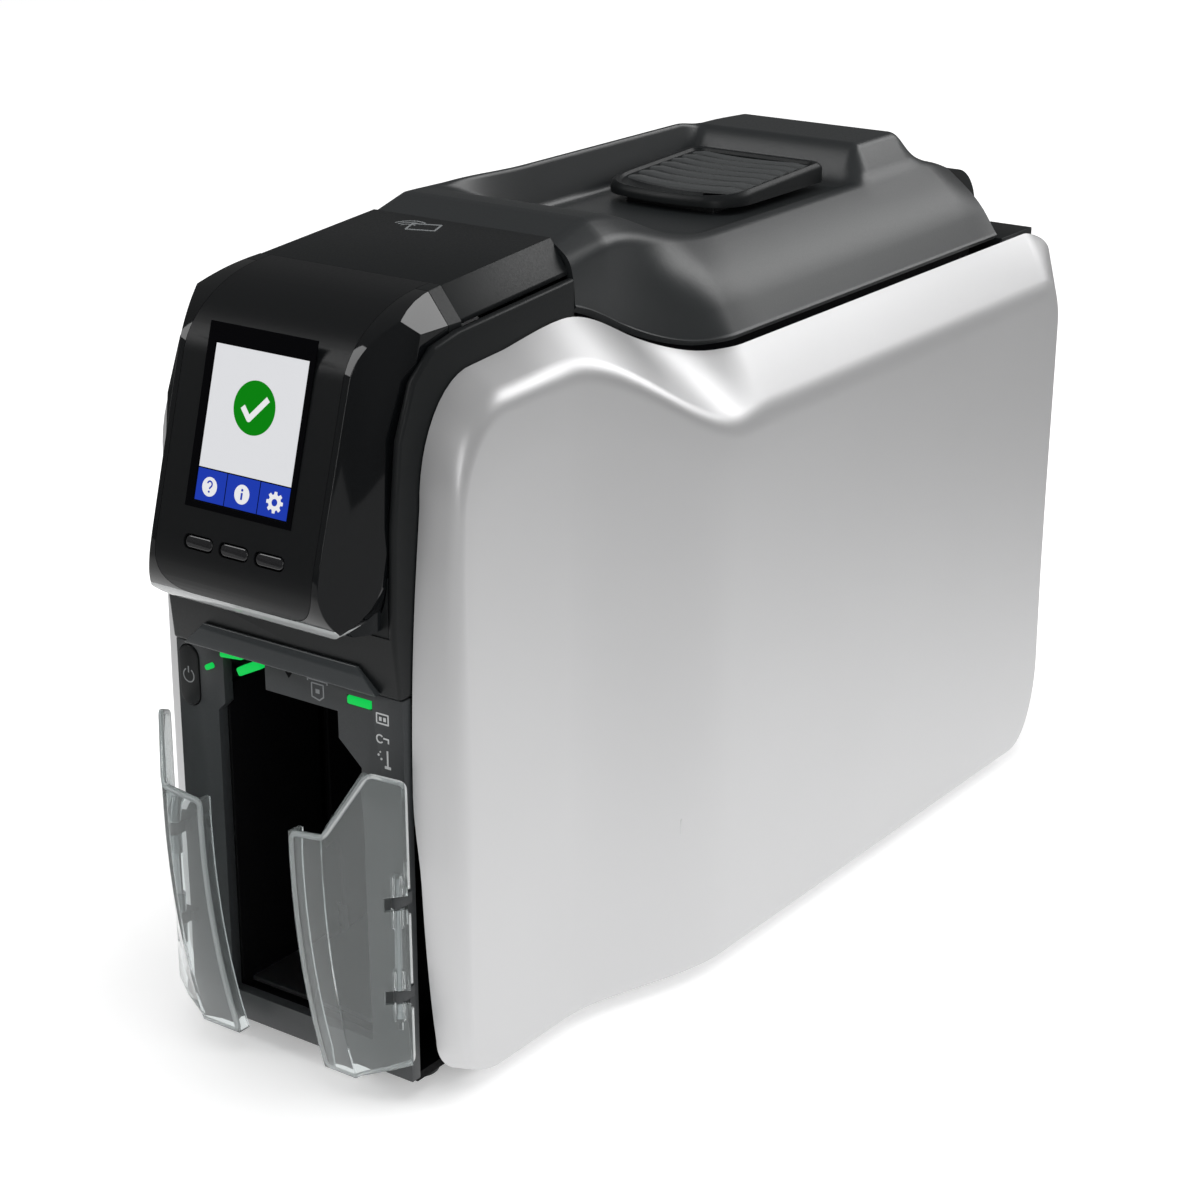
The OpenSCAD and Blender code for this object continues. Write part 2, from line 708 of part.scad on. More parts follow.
module gear_outline(teeth, phase) {
  r = tooth_module * teeth / 2;
  step = 360 / teeth;
  polygon([for (i = [0:teeth - 1]) each
    let (a = phase + i * step)
    [[(r - 1.25) * cos(a - 0.31 * step), (r - 1.25) * sin(a - 0.31 * step)],
     [(r + 0.9) * cos(a - 0.11 * step), (r + 0.9) * sin(a - 0.11 * step)],
     [(r + 0.9) * cos(a + 0.11 * step), (r + 0.9) * sin(a + 0.11 * step)],
     [(r - 1.25) * cos(a + 0.31 * step), (r - 1.25) * sin(a + 0.31 * step)]]]);
}
module gear(y, z, teeth, phase) {
  along_x(gear_x, gear_w) translate([y, z]) gear_outline(teeth, phase);
}
// Gears sit in a row at the roller height, each half a tooth on from the next
row_phase = 360 / gear_teeth / 2;
function phase_at(i) = i % 2 == 0 ? 0 : row_phase;

module roller(y, z, r, geared, phase) {
  shaft_end = wall_out + 1.5;
  shaft_x = geared ? gear_x : -shaft_end;
  rod_x(shaft_x, y, z, shaft_d / 2, shaft_end - shaft_x);
  rod_x(-bay_half_w, y, z, r, 2 * bay_half_w);
  if (geared) gear(y, z, gear_teeth, phase);
}
module platen_roller() {
  color(ink) roller(0, roller_z, roller_r, true, phase_at(0));
}
module feed_roller_front() {
  color("dimgray") roller(-2 * gear_pitch, roller_z, roller_r, true, phase_at(2));
}
module feed_roller_rear() {
  color("dimgray") roller(2 * gear_pitch, roller_z, roller_r, true, phase_at(2));
}
pickup_phase = meshed(phase_at(4), atan2(pickup_rise, pickup_y + 4 * gear_pitch), gear_teeth, gear_teeth);
module pickup_roller() {
  color("dimgray") roller(pickup_y, pickup_z, roller_r, true, pickup_phase);
}
clean_y = -61;
clean_z = path_z + card_gap + roller_r;
module cleaning_roller() {
  color("ivory") roller(clean_y, clean_z, roller_r, false, 0);
}
pinch_r = 5;
pinch_z = path_z + card_gap + pinch_r;
module pinch_roller(side) {
  color("dimgray") roller(side * 2 * gear_pitch, pinch_z, pinch_r, false, 0);
}

// Idler gears on short studs
module idler(y, z, phase) {
  gear(y, z, gear_teeth, phase);
  rod_x(gear_x, y, z, shaft_d / 2, -gear_x - wall_x);
}
idler_phase = meshed(phase_at(1), -90, gear_teeth, gear_teeth);
pinion_phase = meshed(idler_phase, -90, pinion_teeth, gear_teeth);
module motor_pinion() {
  color("white") {
    gear(motor_y, motor_z, pinion_teeth, pinion_phase);
    rod_x(gear_x, motor_y, motor_z, shaft_d / 2, -gear_x - wall_x + 3);
  }
}
module drive_motor() {
  color(steel) {
    difference() {
      union() {
        rod_x(-wall_x + 0.02, motor_y, motor_z, 17, 38);
        box([-wall_x, -wall_x + 2], [motor_y - 21, motor_y + 21], [motor_z - 17, motor_z + 17]);
      }
      rod_x(-wall_x - 1, motor_y, motor_z, shaft_d / 2 + 0.5, 6);
    }
  }
}

module spindle(y, roll_r) {
  rod_x(-wall_out - 1.5, y, spool_z, shaft_d / 2, 2 * wall_out + 3);
  rod_x(-31, y, spool_z, 7, 62);
  for (x = [-31, 29.5]) rod_x(x, y, spool_z, 14, 1.5);
  rod_x(-28, y, spool_z, roll_r, 56);
}
module supply_spindle() {
  color("ivory") spindle(supply_y, 13);
}
module takeup_spindle() {
  color("ivory") spindle(takeup_y, 8.5);
}

// Rails that carry the card between the rollers
module card_guides() {
  color(ink) {
    both_sides() {
      difference() {
        box([bay_half_w + 0.6, wall_x], [-76, 118], [path_z - 3, path_z + 5]);
        box([0, card_w / 2 + 2.8], [-90, 130], [path_z - 0.6, path_z + 1.4]);
        for (y = [-4:2]) rod_x(0, y * gear_pitch, roller_z, shaft_d / 2 + 1, 60);
        for (y = [-2, 2]) rod_x(0, y * gear_pitch, pinch_z, shaft_d / 2 + 1, 60);
        rod_x(0, clean_y, clean_z, shaft_d / 2 + 1, 60);
        rod_x(0, pickup_y, pickup_z, shaft_d / 2 + 1, 60);
      }
    }
  }
}

// Back: cover with the connectors
module back_cover() {
  color(charcoal) {
    difference() {
      union() {
        box([-57, 57], [back_y - 3, back_y - 0.4], [foot_z + 6, 205]);
        // Shoulders beside the barrel
        both_sides() box([45.5, rear_rim_w - 2], [hinge_y - 4, back_y - 1], [205, 221.5]);
        box([-57, 57], [chassis_back_y, back_y - 0.4], [203, 205]);
      }
      for (c = connectors) {
        box([c[0] - c[1] / 2 - 0.3, c[0] + c[1] / 2 + 0.3], [back_y - 5, back_y + 1],
          [connector_z(c) - c[2] / 2 - 0.3, connector_z(c) + c[2] / 2 + 0.3]);
      }
      // Slot for a cable lock
      box([-51.5, -48.5], [back_y - 5, back_y + 1], [60, 67]);
      for (z = [150:6:186]) box([-30, 30], [back_y - 5, back_y + 1], [z, z + 2.4]);
    }
  }
}
// Connectors on the main board: place, width and height of each
board_z = 26;
board_t = 1.6;
board_y = back_y - 69.5;
connectors = [[-30, 12, 11], [0, 12.5, 11.5], [26, 16.5, 14]];
function connector_z(c) = board_z + board_t + c[2] / 2;
module connector(c) {
  difference() {
    box([c[0] - c[1] / 2, c[0] + c[1] / 2], [back_y - 14, back_y - 1],
      [board_z + board_t, board_z + board_t + c[2]]);
    translate([c[0], 0, connector_z(c)]) children();
  }
}
module power_inlet() {
  color(ink) connector(connectors[0]) {
    translate([0, back_y, 0]) rotate([90, 0, 0]) {
      difference() {
        cylinder(d = 6.4, h = 10);
        cylinder(d = 2.4, h = 10);
      }
    }
  }
}
module usb_port() {
  color(steel) connector(connectors[1]) {
    difference() {
      box([-4.3, 4.3], [back_y - 10, back_y], [-4, 4]);
      box([-2.8, 2.8], [back_y - 11, back_y - 2], [-1.6, 1.6]);
    }
  }
}
module network_port() {
  color(steel) connector(connectors[2]) {
    box([-6, 6], [back_y - 11, back_y], [-3.5, 3.5]);
    box([-3, 3], [back_y - 11, back_y], [-5.5, -3]);
  }
}
module main_board() {
  color("darkgreen") {
    box([-36.5, 36.5], [board_y, back_y - 10], [board_z, board_z + board_t]);
    box([-10, 12], [board_y + 10, board_y + 32], [board_z, board_z + 4.5]);
    for (y = [board_y + 4, back_y - 26]) {
      both_sides() box([20, 24], [y, y + 4], [tray_z + 3 + floor_t, board_z]);
    }
  }
}

module pinch_roller_front() {
  pinch_roller(-1);
}
module pinch_roller_rear() {
  pinch_roller(1);
}
module front_idler() {
  color("white") idler(-gear_pitch, roller_z, phase_at(1));
}
module rear_idler() {
  color("white") idler(gear_pitch, roller_z, phase_at(1));
}
module pickup_idler_near() {
  color("white") idler(-3 * gear_pitch, roller_z, phase_at(3));
}
module pickup_idler_far() {
  color("white") idler(-4 * gear_pitch, roller_z, phase_at(4));
}
module reduction_idler() {
  color("white") idler(motor_y, idler_z, idler_phase);
}

base_tray();
chassis_frame();
left_side_panel();
right_side_panel();
front_cover();
lower_bezel();
hopper_box();
chin_strip();
status_lights();
display_housing();
front_fascia();
lcd_screen();
clear_visor();
contactless_cover();
reader_board();
back_cover();
power_inlet();
usb_port();
network_port();
main_board();
drive_motor();
rubber_feet();
case_screws();
lid_hinge_pins();
door_hinge_pins();
card_guides();
lid_shell();
lid_frame();
release_pad();
lid_latch();
latch_pin();
printhead_bracket();
printhead();
supply_spindle();
takeup_spindle();
platen_roller();
pickup_roller();
feed_roller_front();
feed_roller_rear();
cleaning_roller();
pinch_roller_front();
pinch_roller_rear();
motor_pinion();
front_idler();
rear_idler();
pickup_idler_near();
pickup_idler_far();
reduction_idler();
lift_plate();
left_hopper_door();
right_hopper_door();
left_menu_button();
middle_menu_button();
right_menu_button();
power_button();
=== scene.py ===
# Looks for a slim id card printer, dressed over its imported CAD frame.
# Sizes in the dictionaries are millimetres, in the CAD's own frame.
import json
import math

import bmesh
import bpy
from mathutils import Euler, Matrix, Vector


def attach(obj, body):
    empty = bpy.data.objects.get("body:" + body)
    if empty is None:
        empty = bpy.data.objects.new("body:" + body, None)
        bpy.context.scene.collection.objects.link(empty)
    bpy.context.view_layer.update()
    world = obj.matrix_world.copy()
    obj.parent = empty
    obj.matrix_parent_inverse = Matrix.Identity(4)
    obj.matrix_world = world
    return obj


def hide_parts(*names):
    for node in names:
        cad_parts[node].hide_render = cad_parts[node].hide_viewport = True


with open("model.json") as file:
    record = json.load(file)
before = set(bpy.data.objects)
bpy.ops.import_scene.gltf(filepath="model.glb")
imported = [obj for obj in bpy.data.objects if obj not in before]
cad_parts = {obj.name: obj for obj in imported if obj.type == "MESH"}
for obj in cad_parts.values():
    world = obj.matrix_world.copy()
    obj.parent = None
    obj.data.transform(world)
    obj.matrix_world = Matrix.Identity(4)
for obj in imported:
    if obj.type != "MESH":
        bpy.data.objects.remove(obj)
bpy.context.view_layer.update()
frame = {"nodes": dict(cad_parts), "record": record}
nodes = frame["nodes"]
bodies = frame["record"]["behaviour"]["bodies"]
bodyOf = {nodeName: bodyName for bodyName, names in bodies.items() for nodeName in names}
mm = 0.001


# Small mesh tools

def mix(a, b, t):
    return a + (b - a) * t


def smooth(t):
    u = min(1.0, max(0.0, t))
    return u * u * (3 - 2 * u)


def through(value, span):
    # Eased share of a span, given as (start, length), that the value has passed
    return smooth((value - span[0]) / span[1])


def spread(start, end, count):
    return [mix(start, end, i / (count - 1)) for i in range(count)]


def addObject(name, data):
    piece = bpy.data.objects.new(name, data)
    bpy.context.scene.collection.objects.link(piece)
    return piece


def newMesh(name, points, faces):
    mesh = bpy.data.meshes.new(name)
    mesh.from_pydata([Vector(p) * mm for p in points], [], faces)
    return addObject(name, mesh)


def loft(name, rings, endless=False, closed=False, caps=()):
    # Quads between rings of points: endless joins the last ring to the first, closed joins the
    # ends of each ring, and the rings listed in caps are filled
    count, depth = len(rings), len(rings[0])
    faces = []
    for i in range(count if endless else count - 1):
        row, after = i * depth, (i + 1) % count * depth
        for k in range(depth if closed else depth - 1):
            j = (k + 1) % depth
            faces.append((row + k, row + j, after + j, after + k))
    faces += [tuple(range(i * depth, (i + 1) * depth)) for i in caps]
    return newMesh(name, [p for ring in rings for p in ring], faces)


def edited(piece, change):
    work = bmesh.new()
    work.from_mesh(piece.data)
    change(work)
    work.to_mesh(piece.data)
    work.free()
    return piece


def tidyMesh(piece, merge=0.002):
    def change(work):
        bmesh.ops.remove_doubles(work, verts=work.verts, dist=merge * mm)
        bmesh.ops.dissolve_degenerate(work, edges=work.edges, dist=merge * mm)
        bmesh.ops.recalc_face_normals(work, faces=work.faces)
    return edited(piece, change)


def dissolved(piece, merge, angle):
    # Merges near points, and neighbours that are flat within the angle
    def change(work):
        bmesh.ops.remove_doubles(work, verts=work.verts, dist=merge * mm)
        bmesh.ops.dissolve_limit(work, angle_limit=math.radians(angle), verts=work.verts, edges=work.edges)
    return edited(piece, change)


def bake(piece):
    # Turns the modifiers into plain mesh
    depsgraph = bpy.context.evaluated_depsgraph_get()
    mesh = bpy.data.meshes.new_from_object(piece.evaluated_get(depsgraph))
    piece.modifiers.clear()
    old = piece.data
    piece.data = mesh
    bpy.data.meshes.remove(old)
    return piece


def shade(piece, angle=32):
    # Smooth faces, with sharp edges kept past the angle
    def change(work):
        for edge in work.edges:
            edge.smooth = len(edge.link_faces) == 2 and edge.calc_face_angle(0) < math.radians(angle)
    piece.data.shade_smooth()
    return edited(piece, change)


def bevelled(piece, width, segments=3, angle=28):
    bevel = piece.modifiers.new("softEdges", "BEVEL")
    bevel.width = width * mm
    bevel.segments = segments
    bevel.limit_method = "ANGLE"
    bevel.angle_limit = math.radians(angle)
    return shade(bake(piece), 40)


def cadCopy(name, node):
    mesh = nodes[node].data.copy()
    mesh.materials.clear()
    mesh.name = name
    return dissolved(addObject(name, mesh), 0.001, 0.4)


def copied(name, piece):
    return newMesh(name, [v.co / mm for v in piece.data.vertices],
                   [tuple(face.vertices) for face in piece.data.polygons])


def skinned(piece, axis, thickness):
    # Turns the sheet's faces up along the axis and thickens it inwards
    if sum(face.normal[axis] * face.area for face in piece.data.polygons) < 0:
        piece.data.flip_normals()
    skin = piece.modifiers.new("skin", "SOLIDIFY")
    skin.thickness = thickness * mm
    skin.offset = -1
    return bake(piece)


def cut(piece, tool, operation="DIFFERENCE"):
    step = piece.modifiers.new("cut", "BOOLEAN")
    step.operation = operation
    step.solver = "EXACT"
    step.object = tool
    bake(piece)
    bpy.data.objects.remove(tool)
    return piece


def block(name, x, y, z):
    points = [(x[i], y[j], z[k]) for k in (0, 1) for j in (0, 1) for i in (0, 1)]
    faces = [(0, 2, 3, 1), (4, 5, 7, 6), (0, 1, 5, 4), (2, 6, 7, 3), (0, 4, 6, 2), (1, 3, 7, 5)]
    return newMesh(name, points, faces)


def prism(name, outline, place):
    # place turns (u, v, end) with end 0 or 1 into a point
    count = len(outline)
    points = [place(u, v, end) for end in (0, 1) for u, v in outline]
    faces = [tuple(range(count)), tuple(range(2 * count - 1, count - 1, -1))]
    faces += [(i, i + count, (i + 1) % count + count, (i + 1) % count) for i in range(count)]
    return tidyMesh(newMesh(name, points, faces))


def joined(name, pieces):
    points, faces = [], []
    for piece in pieces:
        offset = len(points)
        points += [v.co / mm for v in piece.data.vertices]
        faces += [tuple(offset + i for i in face.vertices) for face in piece.data.polygons]
        bpy.data.objects.remove(piece)
    return newMesh(name, points, faces)


def curve(start, corner, end, steps):
    # Quadratic arc
    return [start * (1 - t) ** 2 + corner * 2 * t * (1 - t) + end * t * t for t in spread(0, 1, steps)]


def roundCorner(a, corner, b, reach, steps):
    # Arc that stands in for a corner of a path
    a, corner, b = Vector(a), Vector(corner), Vector(b)
    start = corner + (a - corner) * min(0.48, reach / max((a - corner).length, 1e-6))
    end = corner + (b - corner) * min(0.48, reach / max((b - corner).length, 1e-6))
    return curve(start, corner, end, steps)


def roundedPath(points, reaches, steps=6):
    path = [Vector(points[0])]
    for before, corner, after, reach in zip(points, points[1:], points[2:], reaches):
        path += roundCorner(before, corner, after, reach, steps)
    return path + [Vector(points[-1])]


def roundedOutline(corners, steps=6):
    # Closed outline of (u, v, reach) corners
    outline = []
    for i, (u, v, reach) in enumerate(corners):
        before, after = corners[i - 1], corners[(i + 1) % len(corners)]
        arc = [Vector((u, v, 0))]
        if reach:
            arc = roundCorner((before[0], before[1], 0), arc[0], (after[0], after[1], 0), reach, steps)
        outline += [(p.x, p.y) for p in arc]
    return outline


def mirrorX(piece, name):
    points = [(-v.co.x / mm, v.co.y / mm, v.co.z / mm) for v in piece.data.vertices]
    faces = [tuple(reversed(face.vertices)) for face in piece.data.polygons]
    return newMesh(name, points, faces)


# Materials

def newMaterial(name):
    material = bpy.data.materials.new(name)
    material.use_nodes = True
    tree = material.node_tree
    shader = next(node for node in tree.nodes if node.type == "BSDF_PRINCIPLED")
    return material, tree, shader


def addNode(tree, kind):
    return tree.nodes.new("ShaderNode" + kind)


def feed(node, values):
    for socket, value in values.items():
        node.inputs[socket].default_value = value


def objectNoise(tree, scale, stretch=(1, 1, 1), detail=3.0):
    coordinates = addNode(tree, "TexCoord")
    mapping = addNode(tree, "Mapping")
    noise = addNode(tree, "TexNoise")
    feed(mapping, {"Scale": stretch})
    feed(noise, {"Scale": scale, "Detail": detail})
    tree.links.new(coordinates.outputs["Object"], mapping.inputs["Vector"])
    tree.links.new(mapping.outputs["Vector"], noise.inputs["Vector"])
    return noise


def rampOf(tree, value, start, end, low, high, kind="SMOOTHSTEP"):
    ramp = addNode(tree, "MapRange")
    ramp.interpolation_type = kind
    feed(ramp, {"From Min": start, "From Max": end, "To Min": low, "To Max": high})
    tree.links.new(value, ramp.inputs["Value"])
    return ramp.outputs[0]


def roughen(tree, shader, noise, low, high):
    # Roughness that follows the middle part of the noise
    ramp = rampOf(tree, noise.outputs["Fac"], 0.3, 0.7, low, high, "LINEAR")
    tree.links.new(ramp, shader.inputs["Roughness"])


def finish(name, colour, roughness, metallic=0.0, grain=900.0, bump=0.05, tint=0.06, stretch=(1, 1, 1),
           coat=0.0, specular=0.5, cloud=14.0):
    # A moulded or painted surface: grain for bump and roughness, a broad cloud for colour
    material, tree, shader = newMaterial(name)
    feed(shader, {"Metallic": metallic, "Specular IOR Level": specular})
    if coat:
        feed(shader, {"Coat Weight": coat, "Coat Roughness": 0.04})
    fine = objectNoise(tree, grain, stretch)
    broad = objectNoise(tree, cloud, stretch, 2.0)
    # For colours, the mix node's two ends are its sockets 6 and 7, and its result is 2
    blend = addNode(tree, "Mix")
    blend.data_type = "RGBA"
    feed(blend, {6: tuple(c * (1 - tint) for c in colour) + (1,),
                 7: tuple(min(1, c * (1 + tint)) for c in colour) + (1,)})
    tree.links.new(broad.outputs["Fac"], blend.inputs[0])
    tree.links.new(blend.outputs[2], shader.inputs["Base Color"])
    roughen(tree, shader, fine, roughness * 0.9, roughness * 1.1)
    if bump:
        relief = addNode(tree, "Bump")
        feed(relief, {"Strength": bump, "Distance": 0.0002})
        tree.links.new(fine.outputs["Fac"], relief.inputs["Height"])
        tree.links.new(relief.outputs["Normal"], shader.inputs["Normal"])
    return material


def clearFinish(name, colour, roughness, transmission):
    material, tree, shader = newMaterial(name)
    feed(shader, {"Base Color": tuple(colour) + (1,), "Transmission Weight": transmission, "IOR": 1.46})
    roughen(tree, shader, objectNoise(tree, 60.0), roughness * 0.7, roughness * 1.3)
    return material


def glow(name, colour, light, strength):
    # A lit surface: its own dark or pale colour, and the light that it gives
    material, tree, shader = newMaterial(name)
    feed(shader, {"Base Color": tuple(colour) + (1,), "Specular IOR Level": 0.08,
                  "Emission Color": tuple(light) + (1,), "Emission Strength": strength})
    roughen(tree, shader, objectNoise(tree, 2600.0), 0.28, 0.4)
    return material


satinSilver = finish("satinSilver", (0.68, 0.68, 0.685), 0.42, metallic=0.75, grain=2600, bump=0.03,
                     tint=0.02)
charcoalSatin = finish("charcoalSatin", (0.015, 0.017, 0.018), 0.38, grain=1500, bump=0.06, tint=0.08,
                       specular=0.8)
coverSatin = finish("coverSatin", (0.007, 0.008, 0.0085), 0.40, grain=1500, bump=0.06, tint=0.08,
                    specular=0.3)
# Lighter satin for the pad's ribs, a painted highlight on them
ribHighlightSatin = finish("ribHighlightSatin", (0.050, 0.053, 0.054), 0.34, grain=1500, bump=0.04, tint=0.05, specular=0.7)
bezelSatin = finish("bezelSatin", (0.032, 0.035, 0.037), 0.45, grain=1400, bump=0.10, tint=0.06)
fasciaSatin = finish("fasciaSatin", (0.006, 0.0065, 0.007), 0.32, grain=1200, bump=0.02, specular=0.25)
blackGloss = finish("blackGloss", (0.006, 0.007, 0.008), 0.12, grain=500, bump=0.01)
blackGlass = finish("blackGlass", (0.0015, 0.0015, 0.002), 0.12, grain=400, bump=0.005, specular=0.08)
blackMatte = finish("blackMatte", (0.002, 0.002, 0.0025), 0.7, grain=900, bump=0.1, specular=0.1)
buttonGloss = finish("buttonGloss", (0.008, 0.008, 0.009), 0.12, grain=500, bump=0.01, coat=1.0)
chinGloss = finish("chinGloss", (0.034, 0.038, 0.040), 0.10, grain=260, bump=0.0, tint=0.15, coat=0.6)
steelBrushed = finish("steelBrushed", (0.50, 0.51, 0.52), 0.34, metallic=1.0, grain=700, bump=0.06,
                      stretch=(1, 1, 9))
steelTurned = finish("steelTurned", (0.58, 0.59, 0.60), 0.24, metallic=1.0, grain=600, bump=0.03,
                     stretch=(8, 1, 1))
rubberDark = finish("rubberDark", (0.018, 0.018, 0.018), 0.75, grain=1100, bump=0.25)
gearWhite = finish("gearWhite", (0.66, 0.65, 0.60), 0.45, grain=800, bump=0.05)
boardGreen = finish("boardGreen", (0.012, 0.10, 0.045), 0.35, grain=400, bump=0.12, tint=0.25, cloud=160)
signWhite = finish("signWhite", (0.50, 0.51, 0.51), 0.5, grain=1500, bump=0.02)
signGrey = finish("signGrey", (0.20, 0.21, 0.215), 0.4, grain=1500, bump=0.02)
doorClear = clearFinish("doorClear", (0.66, 0.70, 0.70), 0.03, 0.91)
# Paler clear finish for the doors' edge beads, a painted highlight along their edges
edgeHighlightClear = clearFinish("edgeHighlightClear", (0.90, 0.92, 0.92), 0.05, 0.55)
visorGloss = finish("visorGloss", (0.003, 0.0035, 0.004), 0.05, grain=300, bump=0.0, tint=0.02, coat=0.3)
# Paler clear finish for the visor's rim, a painted reflection of the table's light
rimPaintedReflection = clearFinish("rimPaintedReflection", (0.80, 0.82, 0.82), 0.08, 0.45)
lampGreen = glow("lampGreen", (0.002, 0.05, 0.008), (0.006, 0.62, 0.09), 0.9)
pageWhite = glow("pageWhite", (0.20, 0.20, 0.21), (0.80, 0.81, 0.83), 0.66)
pageGreen = glow("pageGreen", (0.001, 0.006, 0.001), (0.001, 0.216, 0.003), 0.95)
pageBlue = glow("pageBlue", (0.003, 0.006, 0.03), (0.0097, 0.038, 0.402), 0.95)
pageSign = glow("pageSign", (0.30, 0.30, 0.31), (0.85, 0.86, 0.87), 0.6)
print("materials ready")


def wear(piece, material, body):
    piece.data.materials.clear()
    piece.data.materials.append(material)
    for face in piece.data.polygons:
        face.material_index = 0
    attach(piece, body)
    return piece


def standIn(piece, material, node):
    # Shown in place of the CAD node, on its body
    wear(piece, material, bodyOf[node])
    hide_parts(node)
    return piece


def dress(name, node, material, bevel=0.0):
    # A cleaned copy of a CAD node with softened edges
    piece = cadCopy(name, node)
    if bevel:
        bevelled(piece, bevel)
    else:
        shade(piece)
    return standIn(piece, material, node)


# Silver side panels

panel = {
    "frontY": -174.0, "backY": 199.5, "footZ": 3.0, "footIn": 12.0, "skin": 2.4, "creaseReach": 5.5,
    "frontHalf": 48.0, "faceHalf": 62.0, "rearRim": 66.0, "rearFace": 79.0, "tail": 12.0, "tailFlare": 6.0,
    "rimFrontZ": 238.5, "humpZ": 243.0, "rimBackZ": 221.0, "creaseZ": (231.5, 200.0), "inner": 12.0,
    "lugs": (-60, 60, 150), "bowZ": 107.0, "bowHalf": 78.0, "bowWidth": 36.0, "midZ": 110.0,
    "midFrontY": -125.0, "midBackY": 140.0,
    # Spans behind the front as (start, length)
    "rimFlare": (112, 45), "faceFlare": (62, 70), "humpRise": (33, 46), "humpFall": (79, 65),
    "creaseFall": (66, 75),
    # Corners of the rim and of the crease as (middle y, middle z, radius in y, radius in z)
    "topFront": ((-141, 200, -26.5, 38.5), (-141, 198, -24, 33)),
    "topBack": ((187.5, 209, 12, 12), (183.5, 184, 14, 16)),
    "lowBack": ((177.5, 40, 22, -37), (177.5, 40, 19.5, -35)),
    "lowFront": ((-148, 20, -20, -17), (-148, 24, -17.5, -19)),
}


def rimHalf(y):
    return mix(panel["frontHalf"], panel["rearRim"], through(y - panel["frontY"], panel["rimFlare"])) \
        + panel["tailFlare"] * smooth((y - panel["backY"] + panel["tail"]) / panel["tail"])


def faceHalf(y):
    return mix(panel["faceHalf"], panel["rearFace"], through(y - panel["frontY"], panel["faceFlare"]))


def footHalf(y):
    return faceHalf(y) - panel["footIn"]


def rimTop(y):
    t = y - panel["frontY"]
    if t < panel["humpFall"][0]:
        return mix(panel["rimFrontZ"], panel["humpZ"], through(t, panel["humpRise"]))
    return mix(panel["humpZ"], panel["rimBackZ"], through(t, panel["humpFall"]))


def creaseTop(y):
    return mix(*panel["creaseZ"], through(y - panel["frontY"], panel["creaseFall"]))


def bowStation(h, side, rimX):
    # Place on the bowed front, h above or below its middle
    bow, z = (h / panel["bowWidth"]) ** 2, panel["bowZ"] + side * h
    return (panel["frontY"] + bow, z), (panel["frontY"] + 7 + bow / 4, z), rimX


def cornerStations(name, start, end, rimX):
    stations = []
    for degrees in spread(start, end, 13):
        c, s = math.cos(math.radians(degrees)), math.sin(math.radians(degrees))
        rim, crease = [(y + reachY * c, z + reachZ * s) for y, z, reachY, reachZ in panel[name]]
        stations.append((rim, crease, rimX(rim[0])))
    return stations


def panelStations():
    # All round the panel: (y, z) on the rim, (y, z) on the crease, and the rim's x
    back, footZ = panel["backY"], panel["footZ"]
    (rimEnd, creaseEnd), (rimStart, creaseStart) = [[part[1] for part in panel[name]]
                                                    for name in ("topBack", "lowBack")]
    straight = spread(panel["midFrontY"], panel["midBackY"], 90)
    stations = [bowStation(h, 1, panel["frontHalf"]) for h in spread(0, panel["bowHalf"], 14)]
    stations += cornerStations("topFront", 0, 90, rimHalf)
    stations += [((y, rimTop(y)), (y, creaseTop(y)), rimHalf(y)) for y in straight]
    stations += cornerStations("topBack", 90, 0, rimHalf)
    for t in spread(0, 1, 12)[1:-1]:
        crease = (mix(back - 2, back - 2.5, t), mix(creaseEnd, creaseStart, t))
        stations.append(((back, mix(rimEnd, rimStart, t)), crease, mix(rimHalf(back), footHalf(back), t)))
    stations += cornerStations("lowBack", 0, 90, footHalf)
    stations += [((y, footZ), (y, footZ + 2), footHalf(y)) for y in reversed(straight)]
    stations += cornerStations("lowFront", 90, 0, footHalf)
    return stations + [bowStation(h, -1, panel["frontHalf"] + 2 * smooth(h / 30))
                       for h in spread(panel["bowHalf"], 0, 14)[:-1]]


def makeSidePanel(name):
    rings = []
    for (rimY, rimZ), (creaseY, creaseZ), rimX in panelStations():
        rim = Vector((rimX, rimY, rimZ))
        crease = Vector((faceHalf(creaseY), creaseY, creaseZ))
        midY = min(max(creaseY, panel["midFrontY"]), panel["midBackY"])
        toMid = Vector((0, midY - creaseY, panel["midZ"] - creaseZ))
        inner = crease + toMid.normalized() * panel["inner"]
        inner.x = faceHalf(inner.y)
        ring = [rim, rim.lerp(crease, 0.1)] + roundCorner(rim, crease, inner, panel["creaseReach"], 8)
        last = ring[-1]
        for t in (0.15, 0.35, 0.6, 0.8, 1.0):
            y = mix(last.y, midY, t)
            ring.append(Vector((faceHalf(y), y, mix(last.z, panel["midZ"], t))))
        rings.append(ring)
    sheet = tidyMesh(loft(name, rings, endless=True), 0.01)
    return shade(skinned(sheet, 0, panel["skin"]), 35)


rightPanel = makeSidePanel("rightPanel")
leftPanel = shade(mirrorX(rightPanel, "leftPanel"), 35)
lugs = [block("lug", (38.5, faceHalf(y) - 1.2), (y - 5, y + 5), (60, 66)) for y in panel["lugs"]]
rightLugs = bevelled(joined("rightPanelLugs", lugs), 0.6)
leftLugs = shade(mirrorX(rightLugs, "leftPanelLugs"), 40)
for piece, node in ((rightPanel, "right_side_panel"), (leftPanel, "left_side_panel"),
                    (rightLugs, "right_side_panel"), (leftLugs, "left_side_panel")):
    standIn(piece, satinSilver, node)
print("side panels made")


# Lid shell with its hood, recess and raised block

